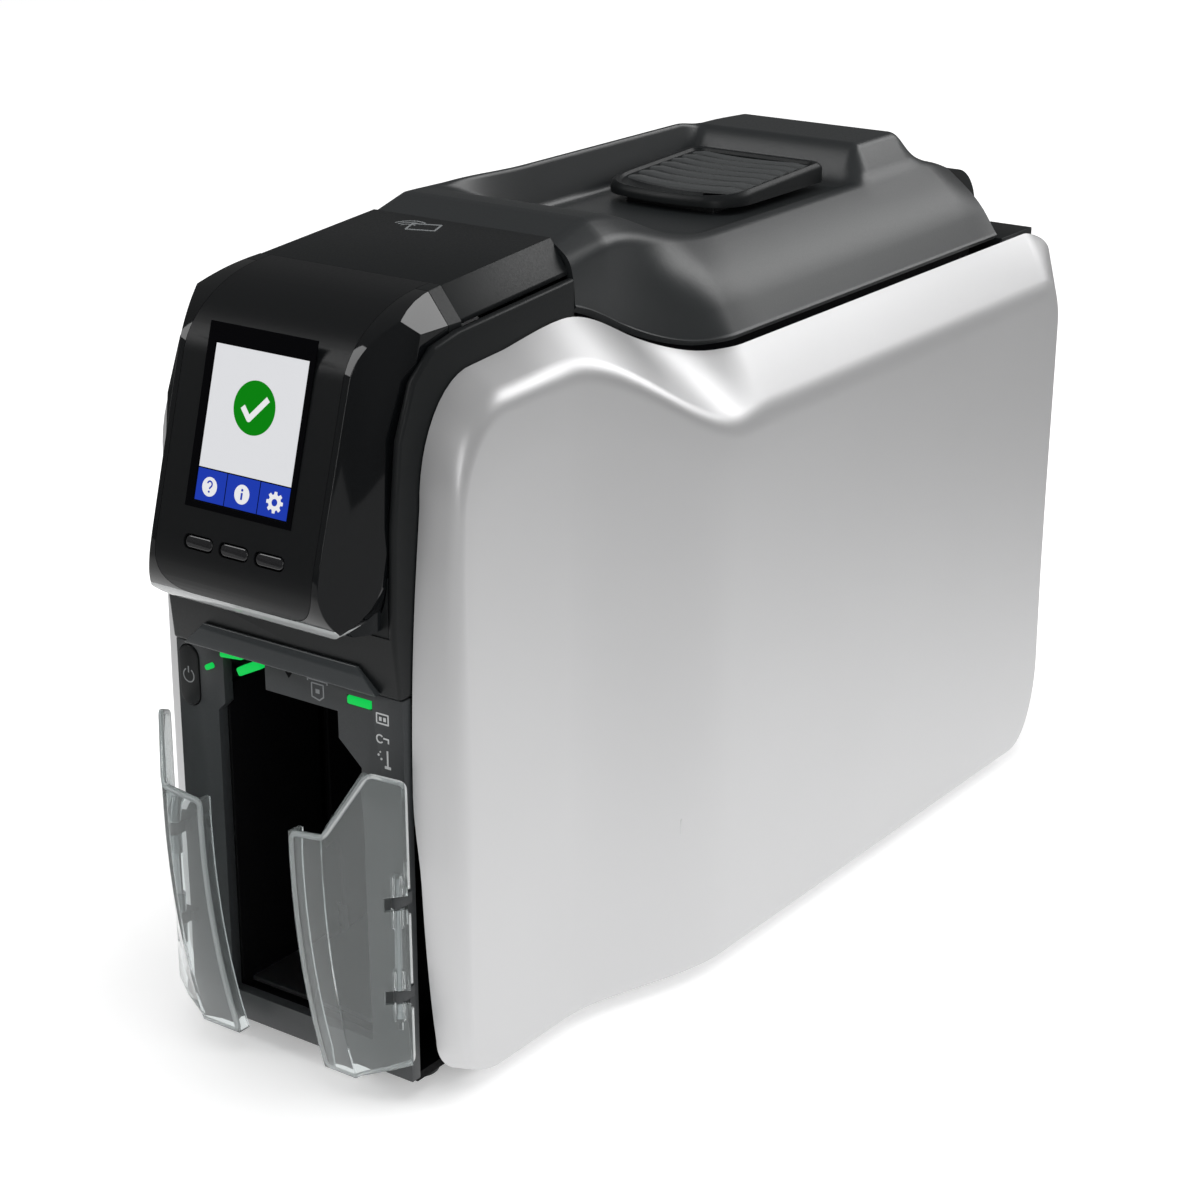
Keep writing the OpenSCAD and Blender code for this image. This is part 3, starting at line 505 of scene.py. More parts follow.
lid = {
    "gap": 1.6, "rise": 3.0, "skin": 2.4, "frontY": -85.0, "backY": 168.0, "lipY": -68.0,
    "ridgeHalf": 40.0, "hoodHalf": 46.0, "crownHalf": 37.0, "ridgeZ": 253.0, "hoodZ": 262.0,
    "recessZ": 250.0, "blockZ": 265.0, "crestZ": 269.0, "reaches": (0.5, 12, 3.2, 2.4, 3.0),
    "well": ((-19.3, 19.3), (35.7, 84.3), (235, 256)),
    "shadeStripIn": 4.2, "shadeStripDrop": 4.0, "shadeStripTop": 2.0, "shadeStripSkin": 1.2, "shadeStripBackY": 150.0,
    # Spans in y as (start, length)
    "hoodFall": (-66, 70), "leftFall": (122, 34), "blockRise": (98, 14), "blockFall": (138, 20),
    "tailFall": (150, 36), "leftSag": (-40, 40), "leftStep": (96, 20),
}


def lidSide(y, hood, crest):
    # Corners of one side of the section, from its foot up to its crown
    lip = max(0.0, (lid["lipY"] - y) / (lid["lipY"] - lid["frontY"]))
    tail = through(y, lid["tailFall"])
    footX, footZ = rimHalf(y) - lid["gap"], rimTop(y) + lid["rise"]
    ridgeX = mix(lid["ridgeHalf"], lid["hoodHalf"], hood) - 2.2 * lip
    ridgeZ = mix(lid["ridgeZ"], lid["hoodZ"], hood) - 2.5 * lip - 9 * tail
    crownX = mix(lid["ridgeHalf"] - 7, lid["crownHalf"], hood)
    return [(footX, footZ), (footX - 0.6, footZ + 0.5), (mix(footX, ridgeX, 0.36), mix(footZ, ridgeZ, 0.52)),
            (ridgeX, ridgeZ), (crownX, crest - 4.5 * lip - 8 * tail)]


def lidSection(y):
    # Full section from the right foot to the left one, whose shoulder stays high for longer
    hood, leftHood = 1 - through(y, lid["hoodFall"]), 1 - through(y, lid["leftFall"])
    raised = through(y, lid["blockRise"]) - through(y, lid["blockFall"])
    middle = mix(mix(lid["recessZ"], lid["blockZ"], raised), lid["crestZ"], hood)
    leftCrest = lid["crestZ"] - 1.4 * through(y, lid["leftSag"]) - 2.6 * through(y, lid["leftStep"])
    rightSide = lidSide(y, hood, middle)
    floorZ = rightSide[-1][1]
    leftSide = lidSide(y, leftHood, mix(middle, leftCrest, leftHood))
    leftSide.append((lid["ridgeHalf"] - 10.5 + 4 * leftHood, floorZ))
    right, left = [roundedPath([(x, y, z) for x, z in side + [(0, floorZ)]], lid["reaches"])
                   for side in (rightSide, leftSide)]
    return right + [Vector((-p.x, p.y, p.z)) for p in reversed(left[:-1])]


def makeLidShell(name):
    # Stations lie closer where the raised block begins
    stations = spread(lid["frontY"], lid["lipY"], 8) + spread(-66.5, 97, 80) + spread(98.4, 113, 16) \
        + spread(115, 137, 6) + spread(138, lid["backY"], 30)
    piece = skinned(loft(name, [lidSection(y) for y in stations]), 2, lid["skin"])
    cut(piece, block("padWell", *lid["well"]))
    return shade(piece, 30)


def makeLidShadeStrip(name):
    # A dark strip inside the lid's foot, which closes the view under it: painted shade in the gap under the
    # lid's edge
    rings = []
    for y in spread(lid["frontY"] + 4, lid["shadeStripBackY"], 60):
        far, near = rimHalf(y) - lid["shadeStripIn"], rimHalf(y) - lid["shadeStripIn"] - lid["shadeStripSkin"]
        top, foot = rimTop(y) + lid["rise"] + lid["shadeStripTop"], rimTop(y) - lid["shadeStripDrop"]
        rings.append([(far, y, top), (far, y, foot), (near, y, foot), (near, y, top)])
    return tidyMesh(loft(name, rings, closed=True, caps=(0, len(rings) - 1)))


standIn(makeLidShell("lidShell"), charcoalSatin, "lid_shell")
# Near-black strips in the gap under the lid's edge, as painted shade
rightShadeStrip = makeLidShadeStrip("rightShadeStrip")
leftShadeStrip = tidyMesh(mirrorX(rightShadeStrip, "leftShadeStrip"))
lidShadeStrips = joined("lidShadeStrips", [rightShadeStrip, leftShadeStrip])
standIn(shade(lidShadeStrips), blackMatte, "lid_shell")
print("lid made")


# Repeats by Geometry Nodes

def repeated(name, item, count, step, material):
    # Copies of item in a row, joined into one plain mesh
    tree = bpy.data.node_groups.new(name + "Row", "GeometryNodeTree")
    for socket, side, kind in (("Geometry", "INPUT", "Geometry"), ("Count", "INPUT", "Int"),
                               ("Step", "INPUT", "Vector"), ("Finish", "INPUT", "Material"),
                               ("Geometry", "OUTPUT", "Geometry")):
        tree.interface.new_socket(socket, in_out=side, socket_type="NodeSocket" + kind)
    entry, exitNode = tree.nodes.new("NodeGroupInput"), tree.nodes.new("NodeGroupOutput")
    line, place, real, coat = [tree.nodes.new("GeometryNode" + kind) for kind in (
        "MeshLine", "InstanceOnPoints", "RealizeInstances", "SetMaterial")]
    for start, output, end, socket in (
            (entry, "Count", line, "Count"), (entry, "Step", line, "Offset"), (line, "Mesh", place, "Points"),
            (entry, "Geometry", place, "Instance"), (place, "Instances", real, "Geometry"),
            (real, "Geometry", coat, "Geometry"), (entry, "Finish", coat, "Material"),
            (coat, "Geometry", exitNode, "Geometry")):
        tree.links.new(start.outputs[output], end.inputs[socket])
    row = item.modifiers.new("row", "NODES")
    row.node_group = tree
    values = {"Count": count, "Step": Vector(step) * mm, "Finish": material}
    for socket in tree.interface.items_tree:
        if socket.in_out == "INPUT" and socket.name in values:
            row[socket.identifier] = values[socket.name]
    item.name = name
    return shade(bake(item), 35)


# Release pad: rounded plate with a raised rim and curved ribs

pad = {
    "halfWidth": 29.0, "frontY": 29.0, "backY": 96.0, "crestZ": 260.0, "fall": 1250.0, "footZ": 252.8,
    "frontBow": 4.5, "corner": 10.0, "backCorner": 4.0, "rimWidth": 3.0, "ribs": 7, "ribStep": 7.2,
    "ribStart": 39.5, "ribEase": 5.0, "plunger": ((-19, 19), (36, 84), (240, 253.2)),
    # Rings of the plate, as (inset, rise over the pad's arch) above the foot
    "rim": ((0.0, -2.2), (0.35, -0.9), (1.3, 0.0), (2.4, -0.3), (3.0, -1.3), (3.6, -1.5)),
    "ribProfile": ((0.0, -1.9), (0.25, -0.9), (0.9, -0.35), (2.2, -0.2), (4.2, -0.45), (5.6, -0.95),
                   (6.6, -1.9)),
}


def padTop(y):
    return pad["crestZ"] - (y - pad["backY"]) ** 2 / pad["fall"]


def padOutline(inset):
    half, corner, heel = pad["halfWidth"] - inset, pad["corner"], pad["backCorner"]
    front, back = pad["frontY"] + inset, pad["backY"] - inset
    outline = []
    for x in spread(-half + corner, half - corner, 15):
        outline.append((x, front + pad["frontBow"] * (x / half) ** 2))
    bowEnd = front + pad["frontBow"] * ((half - corner) / half) ** 2
    for turn in (((half - corner, bowEnd), (half, front + 5.5), (half, front + 17)),
                 ((half, back - heel), (half, back), (half - heel, back)),
                 ((-half + heel, back), (-half, back), (-half, back - heel)),
                 ((-half, front + 17), (-half, front + 5.5), (-half + corner, bowEnd))):
        outline += [(p.x, p.y) for p in curve(*[Vector((x, y, 0)) for x, y in turn], 9)]
    return outline


def makePadPlate(name):
    rings = [[(x, y, pad["footZ"]) for x, y in padOutline(0)]]
    for inset, rise in pad["rim"]:
        rings.append([(x, y, max(padTop(y) + rise, pad["footZ"] + 0.1)) for x, y in padOutline(inset)])

    def fillMiddle(work):
        work.verts.ensure_lookup_table()
        count = len(rings[0])
        last = [work.verts[(len(rings) - 1) * count + i] for i in range(count)]
        lastEdges = [edge for edge in work.edges if all(v in last for v in edge.verts)]
        bmesh.ops.triangle_fill(work, use_beauty=True, edges=lastEdges)
    return shade(tidyMesh(edited(loft(name, rings, closed=True, caps=(0,)), fillMiddle)), 35)


def makePadRib(name):
    # One curved rib: steep in front, falling away behind
    half = pad["halfWidth"] - pad["rimWidth"] - 1.4
    rings = []
    for x in spread(-half, half, 21):
        bow = pad["frontBow"] * (x / half) ** 2
        ease = 0.9 * smooth((abs(x) - half + pad["ribEase"]) / pad["ribEase"])
        rings.append([(x, pad["ribStart"] + bow + y, z - ease) for y, z in pad["ribProfile"]])
    return tidyMesh(loft(name, rings, closed=True, caps=(0, len(rings) - 1)))


padPlate = makePadPlate("padPlate")
# The ribs are lighter than the plate: a painted highlight on them
padRibs = repeated("padRibs", makePadRib("padRibs"), pad["ribs"], (0, pad["ribStep"], 0), ribHighlightSatin)
for vertex in padRibs.data.vertices:
    # Lay the flat row of ribs on the pad's arch
    vertex.co.z += padTop(vertex.co.y / mm) * mm
padPlunger = bevelled(block("padPlunger", *pad["plunger"]), 0.8)
standIn(padPlate, coverSatin, "release_pad")
standIn(padRibs, ribHighlightSatin, "release_pad")
standIn(padPlunger, coverSatin, "release_pad")
print("release pad made")


# Display head: gloss fascia, clear visor and black housing inside it

head = {
    "frontY": -199.5, "seamY": -141.0, "collarY": -147.5, "collarGap": 0.3, "half": 44.3, "frontHalf": 34.3,
    "footZ": 161.0, "topZ": 262.0, "lean": 16.0, "faceFootZ": 178.0, "visor": 2.2, "paintedRimSide": 0.75,
    "facetTurn": 30.0, "chamferTurn": 52.0, "chamferX": 36.0, "lowCorner": 20.0, "bevel": 3.4,
    "screenW": 38.0, "screenH": 49.0, "screenZ": 220.7, "screenCut": 1.2, "buttonZ": 185.0,
    "buttonStep": 14.4, "buttonHalfU": 6.1, "buttonHalfV": 2.4, "lowBevel": 1.2,
    "windowHalf": 32.0, "windowFootZ": 167.0, "windowCorner": 13.0, "windowDepth": 62.0,
}
leanTan = math.tan(math.radians(head["lean"]))


def faceLine(z):
    rise = z - head["faceFootZ"] - 4
    return head["frontY"] + (0.6 + leanTan * rise if rise > 0 else 0)


def onFace(z0):
    # Frame on the leaning face: u to the right, v up the face, w out of it
    turn = math.radians(90 - head["lean"])
    up = Vector((0, math.cos(turn), math.sin(turn)))
    out = Vector((0, -math.sin(turn), math.cos(turn)))
    base = Vector((0, faceLine(z0), z0))
    return lambda u, v, w: base + Vector((u, 0, 0)) + up * v + out * w


def turnedCut(solid, tool, turn, base, side):
    # Cuts with a tool that is turned, moved to its base and, for side -1, mirrored
    for vertex in tool.data.vertices:
        place = turn @ (vertex.co / mm) + base
        vertex.co = Vector((side * place.x, place.y, place.z)) * mm
    cut(solid, tidyMesh(tool))


def headSolid(name, t):
    # The head's form, set in by t on all sides
    front, seam, faceFoot, foot = head["frontY"], head["seamY"], head["faceFootZ"], head["footZ"]
    # Side outline as (y, z, reach of the rounding)
    corners = [(seam + 8, head["topZ"], 0), (front + 48, 260.8, 9), (front + 36, 257.2, 7),
               (front + 26, 251.5, 5), (faceLine(244) + 0.6, 244, 5), (faceLine(184), 184, 3),
               (front, faceFoot, 3), (front + 1, faceFoot - 8, 5), (front + 8, foot, 5), (seam + 8, foot, 0)]
    corners = [(y + (t if y < seam else 0), z + (t if z < 210 else -t), reach) for y, z, reach in corners]
    solid = prism(name, roundedOutline(corners),
                  lambda y, z, end: (mix(-head["half"] + t, head["half"] - t, end), y, z))
    # Slanted facets beside the face, and chamfers along the top
    facetTurn = Euler((math.radians(-head["lean"]), 0, 0)).to_matrix() \
        @ Euler((0, 0, math.radians(-head["facetTurn"]))).to_matrix()
    facetBase = Vector((head["frontHalf"] - t, faceLine(faceFoot + 4) + t * 0.6, faceFoot))
    chamferTurn = Euler((0, math.radians(head["chamferTurn"]), 0)).to_matrix()
    chamferBase = Vector((head["chamferX"] - t, 0, head["topZ"] - t * 0.5))
    for side in (-1, 1):
        turnedCut(solid, block("facetTool", (0, 60), (-80, 80), (-80, 120)), facetTurn, facetBase, side)
        tool = block("chamferTool", (-20, 40), (front - 20, front + 120), (0, 30))
        turnedCut(solid, tool, chamferTurn, chamferBase, side)
    bevelled(dissolved(solid, 0.01, 0.5), head["bevel"] - t / 2, 5, 16)
    half, low = head["half"] - t, foot + t
    corners = [(-half, low, head["lowCorner"] - t), (half, low, head["lowCorner"] - t), (half + 1, 300, 0),
               (-half - 1, 300, 0)]
    tool = prism("cornerTool", roundedOutline(corners, 12),
                 lambda x, z, end: (x, mix(front - 5, seam + 12, end), z))
    cut(solid, tool, "INTERSECT")
    bevelled(dissolved(solid, 0.01, 0.5), head["lowBevel"])
    # The seam behind the head is cut square after the rounding
    cut(solid, block("seamTool", (-60, 60), (seam, seam + 30), (150, 280)))
    return shade(solid, 25)


def windowTool(gap):
    half, low, reach = head["windowHalf"] - gap, head["windowFootZ"] + gap, head["windowCorner"]
    corners = [(-half, low, reach), (half, low, reach), (half, 280, 0), (-half, 280, 0)]
    return prism("windowTool", roundedOutline(corners, 9),
                 lambda x, z, end: (x, head["frontY"] - 1 + head["windowDepth"] * end, z))


def behindTool(y):
    return block("behindTool", (-50, 50), (y, 0), (150, 280))


def buttonHoles():
    place, u0, v0 = onFace(head["buttonZ"]), head["buttonHalfU"], head["buttonHalfV"]
    corners = [(-u0, -v0, v0), (u0, -v0, v0), (u0, v0, v0), (-u0, v0, v0)]
    tools = []
    for i in (-1, 0, 1):
        outline = [(i * head["buttonStep"] + u, v) for u, v in roundedOutline(corners)]
        tools.append(prism("hole", outline, lambda u, v, end: place(u, v, mix(-8, 4, end))))
    return joined("holes", tools)


# The shell of the head gives the fascia in the window, the collar behind it and the visor
visorShell = cut(headSolid("visorShell", 0.0), headSolid("inner", head["visor"]))
fascia = copied("fascia", visorShell)
cut(fascia, windowTool(0.15), "INTERSECT")
screenFace = onFace(head["screenZ"])
halfW, halfH = head["screenW"] / 2, head["screenH"] / 2
cut(fascia, prism("screenTool", [(-halfW, -halfH), (halfW, -halfH), (halfW, halfH), (-halfW, halfH)],
                  lambda u, v, end: screenFace(u, v, mix(-head["screenCut"], 7, end))))
cut(fascia, tidyMesh(buttonHoles()))
cut(visorShell, windowTool(0.0))
collar = copied("headCollar", visorShell)
cut(collar, behindTool(head["collarY"] + head["collarGap"]), "INTERSECT")
standIn(shade(collar, 25), coverSatin, "display_housing")
cut(visorShell, behindTool(head["collarY"]))
edited(visorShell, lambda work: bmesh.ops.bisect_plane(
    work, geom=work.verts[:] + work.edges[:] + work.faces[:], dist=0.001 * mm,
    plane_co=(0, 0, head["windowFootZ"] * mm), plane_no=(0, 0, 1)))
standIn(shade(fascia, 25), fasciaSatin, "front_fascia")
standIn(shade(visorShell, 25), visorGloss, "clear_visor")
visorShell.data.materials.append(rimPaintedReflection)
for face in visorShell.data.polygons:
    # The clear rim under the face is paler where not turned sideways: a painted reflection of the table's
    # light
    face.material_index = int(face.center.z < head["windowFootZ"] * mm
                              and abs(face.normal.x) < head["paintedRimSide"])
dress("headHousing", "display_housing", blackGloss)
print("display head made")


# Flat signs

def disc(u, v, radius, steps=40):
    return [(u + radius * math.cos(2 * math.pi * i / steps), v + radius * math.sin(2 * math.pi * i / steps))
            for i in range(steps)]


def bar(a, b, width):
    a, b = Vector((a[0], a[1], 0)), Vector((b[0], b[1], 0))
    side = (b - a).normalized().cross(Vector((0, 0, 1))) * width / 2
    return [(p.x, p.y) for p in (a + side, b + side, b - side, a - side)]


def rectangle(u0, v0, u1, v1):
    return [(u0, v0), (u1, v0), (u1, v1), (u0, v1)]


def stroke(points, width):
    # A thick line: one quad for each step, with round joints
    shapes = [bar(a, b, width) for a, b in zip(points, points[1:])]
    return shapes + [disc(p[0], p[1], width / 2, 12) for p in points[1:-1]]


def flatSign(name, shapes, place, low, high, material, body="base"):
    pieces = []
    for index, outline in enumerate(shapes):
        lift = 0.002 * index
        pieces.append(prism("shape", outline, lambda u, v, end: place(u, v, mix(low, high + lift, end))))
    return wear(shade(joined(name, pieces), 30), material, body)


def gearShape(u, v, radius, teeth=8):
    outline = []
    for i in range(teeth):
        a = 2 * math.pi * i / teeth
        for part, r in ((-0.34, 0.74), (-0.2, 1.0), (0.2, 1.0), (0.34, 0.74)):
            angle = a + part * 2 * math.pi / teeth
            outline.append((u + radius * r * math.cos(angle), v + radius * r * math.sin(angle)))
    return outline


def arc(u, v, radius, start, end, steps=10):
    return [(u + radius * math.cos(math.radians(a)), v + radius * math.sin(math.radians(a)))
            for a in spread(start, end, steps)]


screen = {
    "border": (-22.0, -26.5, 21.0, 30.5), "gap": 0.05, "page": 0.79, "inset": 0.4, "barHalf": 6.5,
    "tickRadius": 8.3, "tickV": 7.0, "tickWidth": 1.9, "signU": 13.2, "signV": -19.4, "signRadius": 3.0,
}
left, low, right, top = screen["border"]
edgeU, edgeV = halfW + screen["gap"], halfH + screen["gap"]
flatSign("screenBorder", [rectangle(left, low, -edgeU, top), rectangle(edgeU, low, right, top),
                          rectangle(-edgeU, low, edgeU, -edgeV), rectangle(-edgeU, edgeV, edgeU, top)],
         screenFace, -0.3, 0.08, blackGlass, "base")
barTop = -halfH + (1 - screen["page"]) * head["screenH"]
pageU, barFoot, barHalf = halfW - screen["inset"], -halfH + screen["inset"], screen["barHalf"]
tickV, signU, signV, signR = screen["tickV"], screen["signU"], screen["signV"], screen["signRadius"]
barSplit = barHalf + screen["inset"]
tick = [(-4.6, tickV - 0.2), (-1.6, tickV - 3.6), (5.0, tickV + 3.4)]
askMark = arc(-signU, signV + 0.8, 0.95, 170, -60, 9) + [(-signU, signV - 0.6)]
# Layers of the screen as (name, shapes, foot, top, material), from the glass upwards
screenLayers = (
    ("screenPage", [rectangle(-pageU, barTop + screen["inset"], pageU, halfH - screen["inset"])],
     -0.22, -0.12, pageWhite),
    ("screenBar", [rectangle(-pageU, barFoot, -barSplit, barTop),
                   rectangle(-barHalf, barFoot, barHalf, barTop),
                   rectangle(barSplit, barFoot, pageU, barTop)], -0.22, -0.12, pageBlue),
    ("screenDisc", [disc(0, tickV, screen["tickRadius"], 64)], -0.14, -0.07, pageGreen),
    ("screenTick", stroke(tick, screen["tickWidth"]), -0.10, -0.04, pageSign),
    ("screenSigns", [disc(-signU, signV, signR), disc(0, signV, signR),
                     gearShape(signU, signV, signR + 0.3)], -0.14, -0.07, pageSign),
    ("screenMarks", stroke(askMark, 0.5) + [
        disc(-signU, signV - 1.5, 0.34, 14), bar((0, signV - 1.6), (0, signV + 0.5), 0.7),
        disc(0, signV + 1.35, 0.42, 14), disc(signU, signV, 1.1, 24)], -0.10, -0.03, pageBlue),
)
for name, shapes, foot, top, material in screenLayers:
    flatSign(name, shapes, screenFace, foot, top, material, "base")

reader = {"frontY": -140.6, "length": 56.1, "frontZ": 261.4, "climb": 4.4, "waves": (3.2, 5.0, 6.8)}
bezelY = -177.0
power = {"x": -41.9, "y": -177.6, "z": 128.5}


def onReader(u, v, w):
    return Vector((u, v, reader["frontZ"] + (v - reader["frontY"]) / reader["length"] * reader["climb"] + w))


def onBezel(u, v, w):
    return Vector((u, bezelY - w, v))


def onPower(u, v, w):
    return Vector((u + power["x"], power["y"] - w, v + power["z"]))


signShapes = [shape for radius in reader["waves"] for shape in stroke(arc(-13, -97, radius, 60, 160), 0.55)]
cardCorners = [(-11.5, -99), (-1.5, -96.5), (-3.4, -90.5), (-13.4, -93), (-11.5, -99)]
signShapes += stroke(cardCorners, 0.7)
flatSign("contactlessSign", signShapes, onReader, -0.05, 0.05, signGrey)
bezelSigns = stroke([(36.8, 131.1), (41.4, 131.1), (41.4, 134.3), (36.8, 134.3), (36.8, 131.1)], 0.5)
bezelSigns += [rectangle(37.8, 132, 38.8, 133.3), rectangle(39.5, 132, 40.5, 133.3)]
bezelSigns += stroke(arc(37.9, 125.9, 1.3, 40, 320, 12), 0.5)
bezelSigns += stroke([(39.3, 126.3), (41.3, 126.3), (41.3, 124.9)], 0.5)
bezelSigns += [disc(37.2, 120.4, 0.4, 12), disc(38.3, 119.2, 0.4, 12), disc(37.9, 121.5, 0.3, 12),
               bar((40.8, 116.9), (40.8, 122.4), 0.6), rectangle(39.6, 116.3, 42.0, 117.2)]
insertSign = stroke([(9.0, 138.6), (9.0, 139.4), (17.0, 139.4), (17.0, 138.6)], 0.45)
insertSign += stroke([(10.6, 138.2), (15.4, 138.2), (15.4, 134.2), (13.6, 132.8), (10.6, 133.6),
                      (10.6, 138.2)], 0.45) + [rectangle(12.2, 135.0, 13.8, 136.4)]
insertArrow = [[(-0.7, 139.8), (2.9, 139.8), (1.1, 137.4)]]
for name, shapes, rise, material in (("bezelSigns", bezelSigns, 0.08, signWhite),
                                     ("insertSign", insertSign, 0.08, signGrey),
                                     ("insertArrow", insertArrow, 0.06, blackMatte)):
    flatSign(name, shapes, onBezel, 0.0, rise, material)
powerSign = stroke(arc(0, 0, 2.3, 120, 420, 20), 0.42) + [bar((0, 1.0), (0, 3.2), 0.42)]
flatSign("powerSign", powerSign, onPower, 0.0, 0.06, signGrey, "power_button")
print("signs made")


# Covers, bezel, doors and small outer pieces

dress("frontCover", "front_cover", coverSatin, 1.2)
corner = {"x": 44.4, "z": 160.9, "reach": 20.0, "frontY": -179.6, "backY": -112.0, "sink": 0.3}
arcPoints = roundCorner((0, corner["z"], 0), (corner["x"], corner["z"], 0), (corner["x"], 300, 0),
                        corner["reach"], 12)
filletOutline = [(p.x + corner["sink"], p.y - corner["sink"]) for p in arcPoints]
filletOutline.append((corner["x"] + 0.4, corner["z"] - 0.4))
rightFillet = prism("rightFillet", filletOutline,
                    lambda x, z, end: (x, mix(corner["frontY"], corner["backY"], end), z))
leftFillet = tidyMesh(mirrorX(rightFillet, "leftFillet"))
standIn(shade(joined("cheekFillets", [rightFillet, leftFillet]), 35), coverSatin, "front_cover")
dress("lowerBezel", "lower_bezel", bezelSatin, 0.6)
dress("readerCover", "contactless_cover", coverSatin, 1.0)
dress("chinStrip", "chin_strip", chinGloss, 0.4)
lightBars = (((-34.6, 132.6), (-31.0, 134.5), 1.9), ((-27.8, 138.9), (-18.2, 139.9), 1.8),
             ((-20.4, 134.4), (-10.8, 139.2), 2.9))
lights = [prism("light", bar(a, b, width), lambda u, v, end: Vector((u, mix(-174.0, -177.9, end), v)))
          for a, b, width in lightBars]
lights.append(block("light", (25.2, 34.8), (-177.6, -171), (134.7, 137.5)))
standIn(bevelled(tidyMesh(joined("statusLights", lights)), 0.7), lampGreen, "status_lights")
dress("powerButton", "power_button", coverSatin, 0.5)
for side in ("left", "middle", "right"):
    dress(side + "MenuButton", side + "_menu_button", buttonGloss, 0.6)
dress("rightDoor", "right_hopper_door", doorClear, 0.45)
dress("leftDoor", "left_hopper_door", doorClear, 0.45)

door = {
    "frontY": -199.5, "topZ": 99.0, "axisX": 47.0, "tailY": -181.0, "freeX": 18.7, "bead": 0.85, "sides": 8,
    "rightFace": 33.4, "leftFace": 36.4, "bowDepth": 12.5, "bowHeight": 86.0, "round": 2.0,
    "tops": (115.6, 120.5, 102, 99.5, 98), "feet": (17.5, 14.5, 10, 9, 9),
    "lugEnds": (37.5, 46.5, 70.5, 79.5),
}


def doorPoint(column, z, faceX):
    # A point on the door's outer side: column 0 is behind the hinge, column 4 is the free edge
    bow = max(0, door["topZ"] - 4 - z) / door["bowHeight"]
    front, tail = door["frontY"] + door["bowDepth"] * bow ** 2, door["tailY"]
    tailX = door["axisX"] + 4.2 - 0.6 * z / door["topZ"] - door["bead"]
    x, y = ((tailX, tail), (door["axisX"] - 3.6, mix(tail, front, 0.52)), (faceX, front + 1.2),
            (faceX - 1.6, front), (door["freeX"] + door["bead"], front))[column]
    return Vector((x, y, z))


def makeBead(name, path):
    # Round bead along an open path
    turns = [2 * math.pi * k / door["sides"] for k in range(door["sides"])]
    rings = []
    for i, place in enumerate(path):
        along = (path[min(i + 1, len(path) - 1)] - path[max(i - 1, 0)]).normalized()
        first = along.cross(Vector((0.3, 1, 0.2))).normalized()
        second = along.cross(first)
        rings.append([place + (first * math.cos(a) + second * math.sin(a)) * door["bead"] for a in turns])
    return tidyMesh(loft(name, rings, closed=True, caps=(0, len(rings) - 1)))


def doorEdge(name, faceX):
    # Round the door's outline, set in by the bead's radius, with gaps at the two lugs
    top, foot = [z - door["bead"] for z in door["tops"]], [z + door["bead"] for z in door["feet"]]
    lowEnd, midStart, midEnd, highEnd = [doorPoint(0, z, faceX) for z in door["lugEnds"]]
    corners = [highEnd] + [doorPoint(k, top[k], faceX) for k in range(5)]
    corners += [doorPoint(4, mix(top[4], foot[4], t), faceX) for t in spread(0, 1, 14)[1:]]
    corners += [doorPoint(k, foot[k], faceX) for k in (3, 2, 1, 0)] + [lowEnd]
    path = [highEnd]
    for before, point, after in zip(corners, corners[1:], corners[2:]):
        straight = (point - before).angle(after - point) < 0.2
        path += [point] if straight else roundCorner(before, point, after, door["round"], 5)
    setIn = Vector((0, door["bead"] + 0.05, 0))
    return joined(name, [makeBead("bead", [p + setIn for p in line])
                         for line in (path + [lowEnd], [midStart, midEnd])])


# The doors' rounded clear edges get a paler finish: a painted highlight along them
standIn(shade(doorEdge("rightDoorEdge", door["rightFace"]), 60), edgeHighlightClear, "right_hopper_door")
leftBead = doorEdge("leftBead", door["leftFace"])
leftEdge = tidyMesh(mirrorX(leftBead, "leftDoorEdge"))
bpy.data.objects.remove(leftBead)
standIn(shade(leftEdge, 60), edgeHighlightClear, "left_hopper_door")
dress("hopperBox", "hopper_box", blackMatte, 0.6)
channel = {"lip": 30.9, "inner": 33.9, "outer": 34.9, "y": (-134, -122), "z": (14.4, 126.6)}


def channelWall(side, near, y):
    return block("channel", sorted((side * channel[near], side * channel["outer"])), y, channel["z"])


front, back = channel["y"]
channels = [channelWall(side, "inner", (front, back)) for side in (-1, 1)]
channels += [channelWall(side, "lip", y) for side in (-1, 1) for y in ((front, front + 1), (back - 1, back))]
standIn(bevelled(tidyMesh(joined("hopperChannels", channels)), 0.2), blackMatte, "hopper_box")
dress("backCover", "back_cover", coverSatin, 0.5)
dress("rubberFeet", "rubber_feet", rubberDark, 0.8)
print("outer pieces dressed")

innerFinish = (
    (blackMatte, "base_tray power_inlet card_guides"),
    (blackGlass, "lcd_screen"),
    (boardGreen, "reader_board main_board"),
    (coverSatin, "lid_frame"),
    (steelBrushed, "chassis_frame lid_latch printhead_bracket printhead lift_plate"),
    (steelTurned, "usb_port network_port drive_motor case_screws lid_hinge_pins door_hinge_pins latch_pin"),
    (gearWhite, "supply_spindle takeup_spindle cleaning_roller motor_pinion reduction_idler front_idler "
                "rear_idler pickup_idler_near pickup_idler_far"),
    (rubberDark, "platen_roller pickup_roller feed_roller_front feed_roller_rear pinch_roller_front "
                 "pinch_roller_rear"),
)
for material, names in innerFinish:
    for nodeName in names.split():
        inner = nodes[nodeName]
        if not inner.material_slots:
            inner.data.materials.append(material)
        for slot in inner.material_slots:
            slot.material = material
print("inner nodes finished")


# Studio

studio = {"lens": 80.6, "sensor": 36.0, "place": (0.535, -0.7572, 0.4545), "turn": (69.6, 0.0, 35.5)}
camera = addObject("studioCamera", bpy.data.cameras.new("studioCamera"))
camera.data.lens = studio["lens"]
camera.data.sensor_width = studio["sensor"]
camera.data.sensor_fit = "HORIZONTAL"
camera.location = studio["place"]
camera.rotation_euler = [math.radians(a) for a in studio["turn"]]
bpy.context.scene.camera = camera
bpy.context.scene.view_settings.view_transform = "Standard"


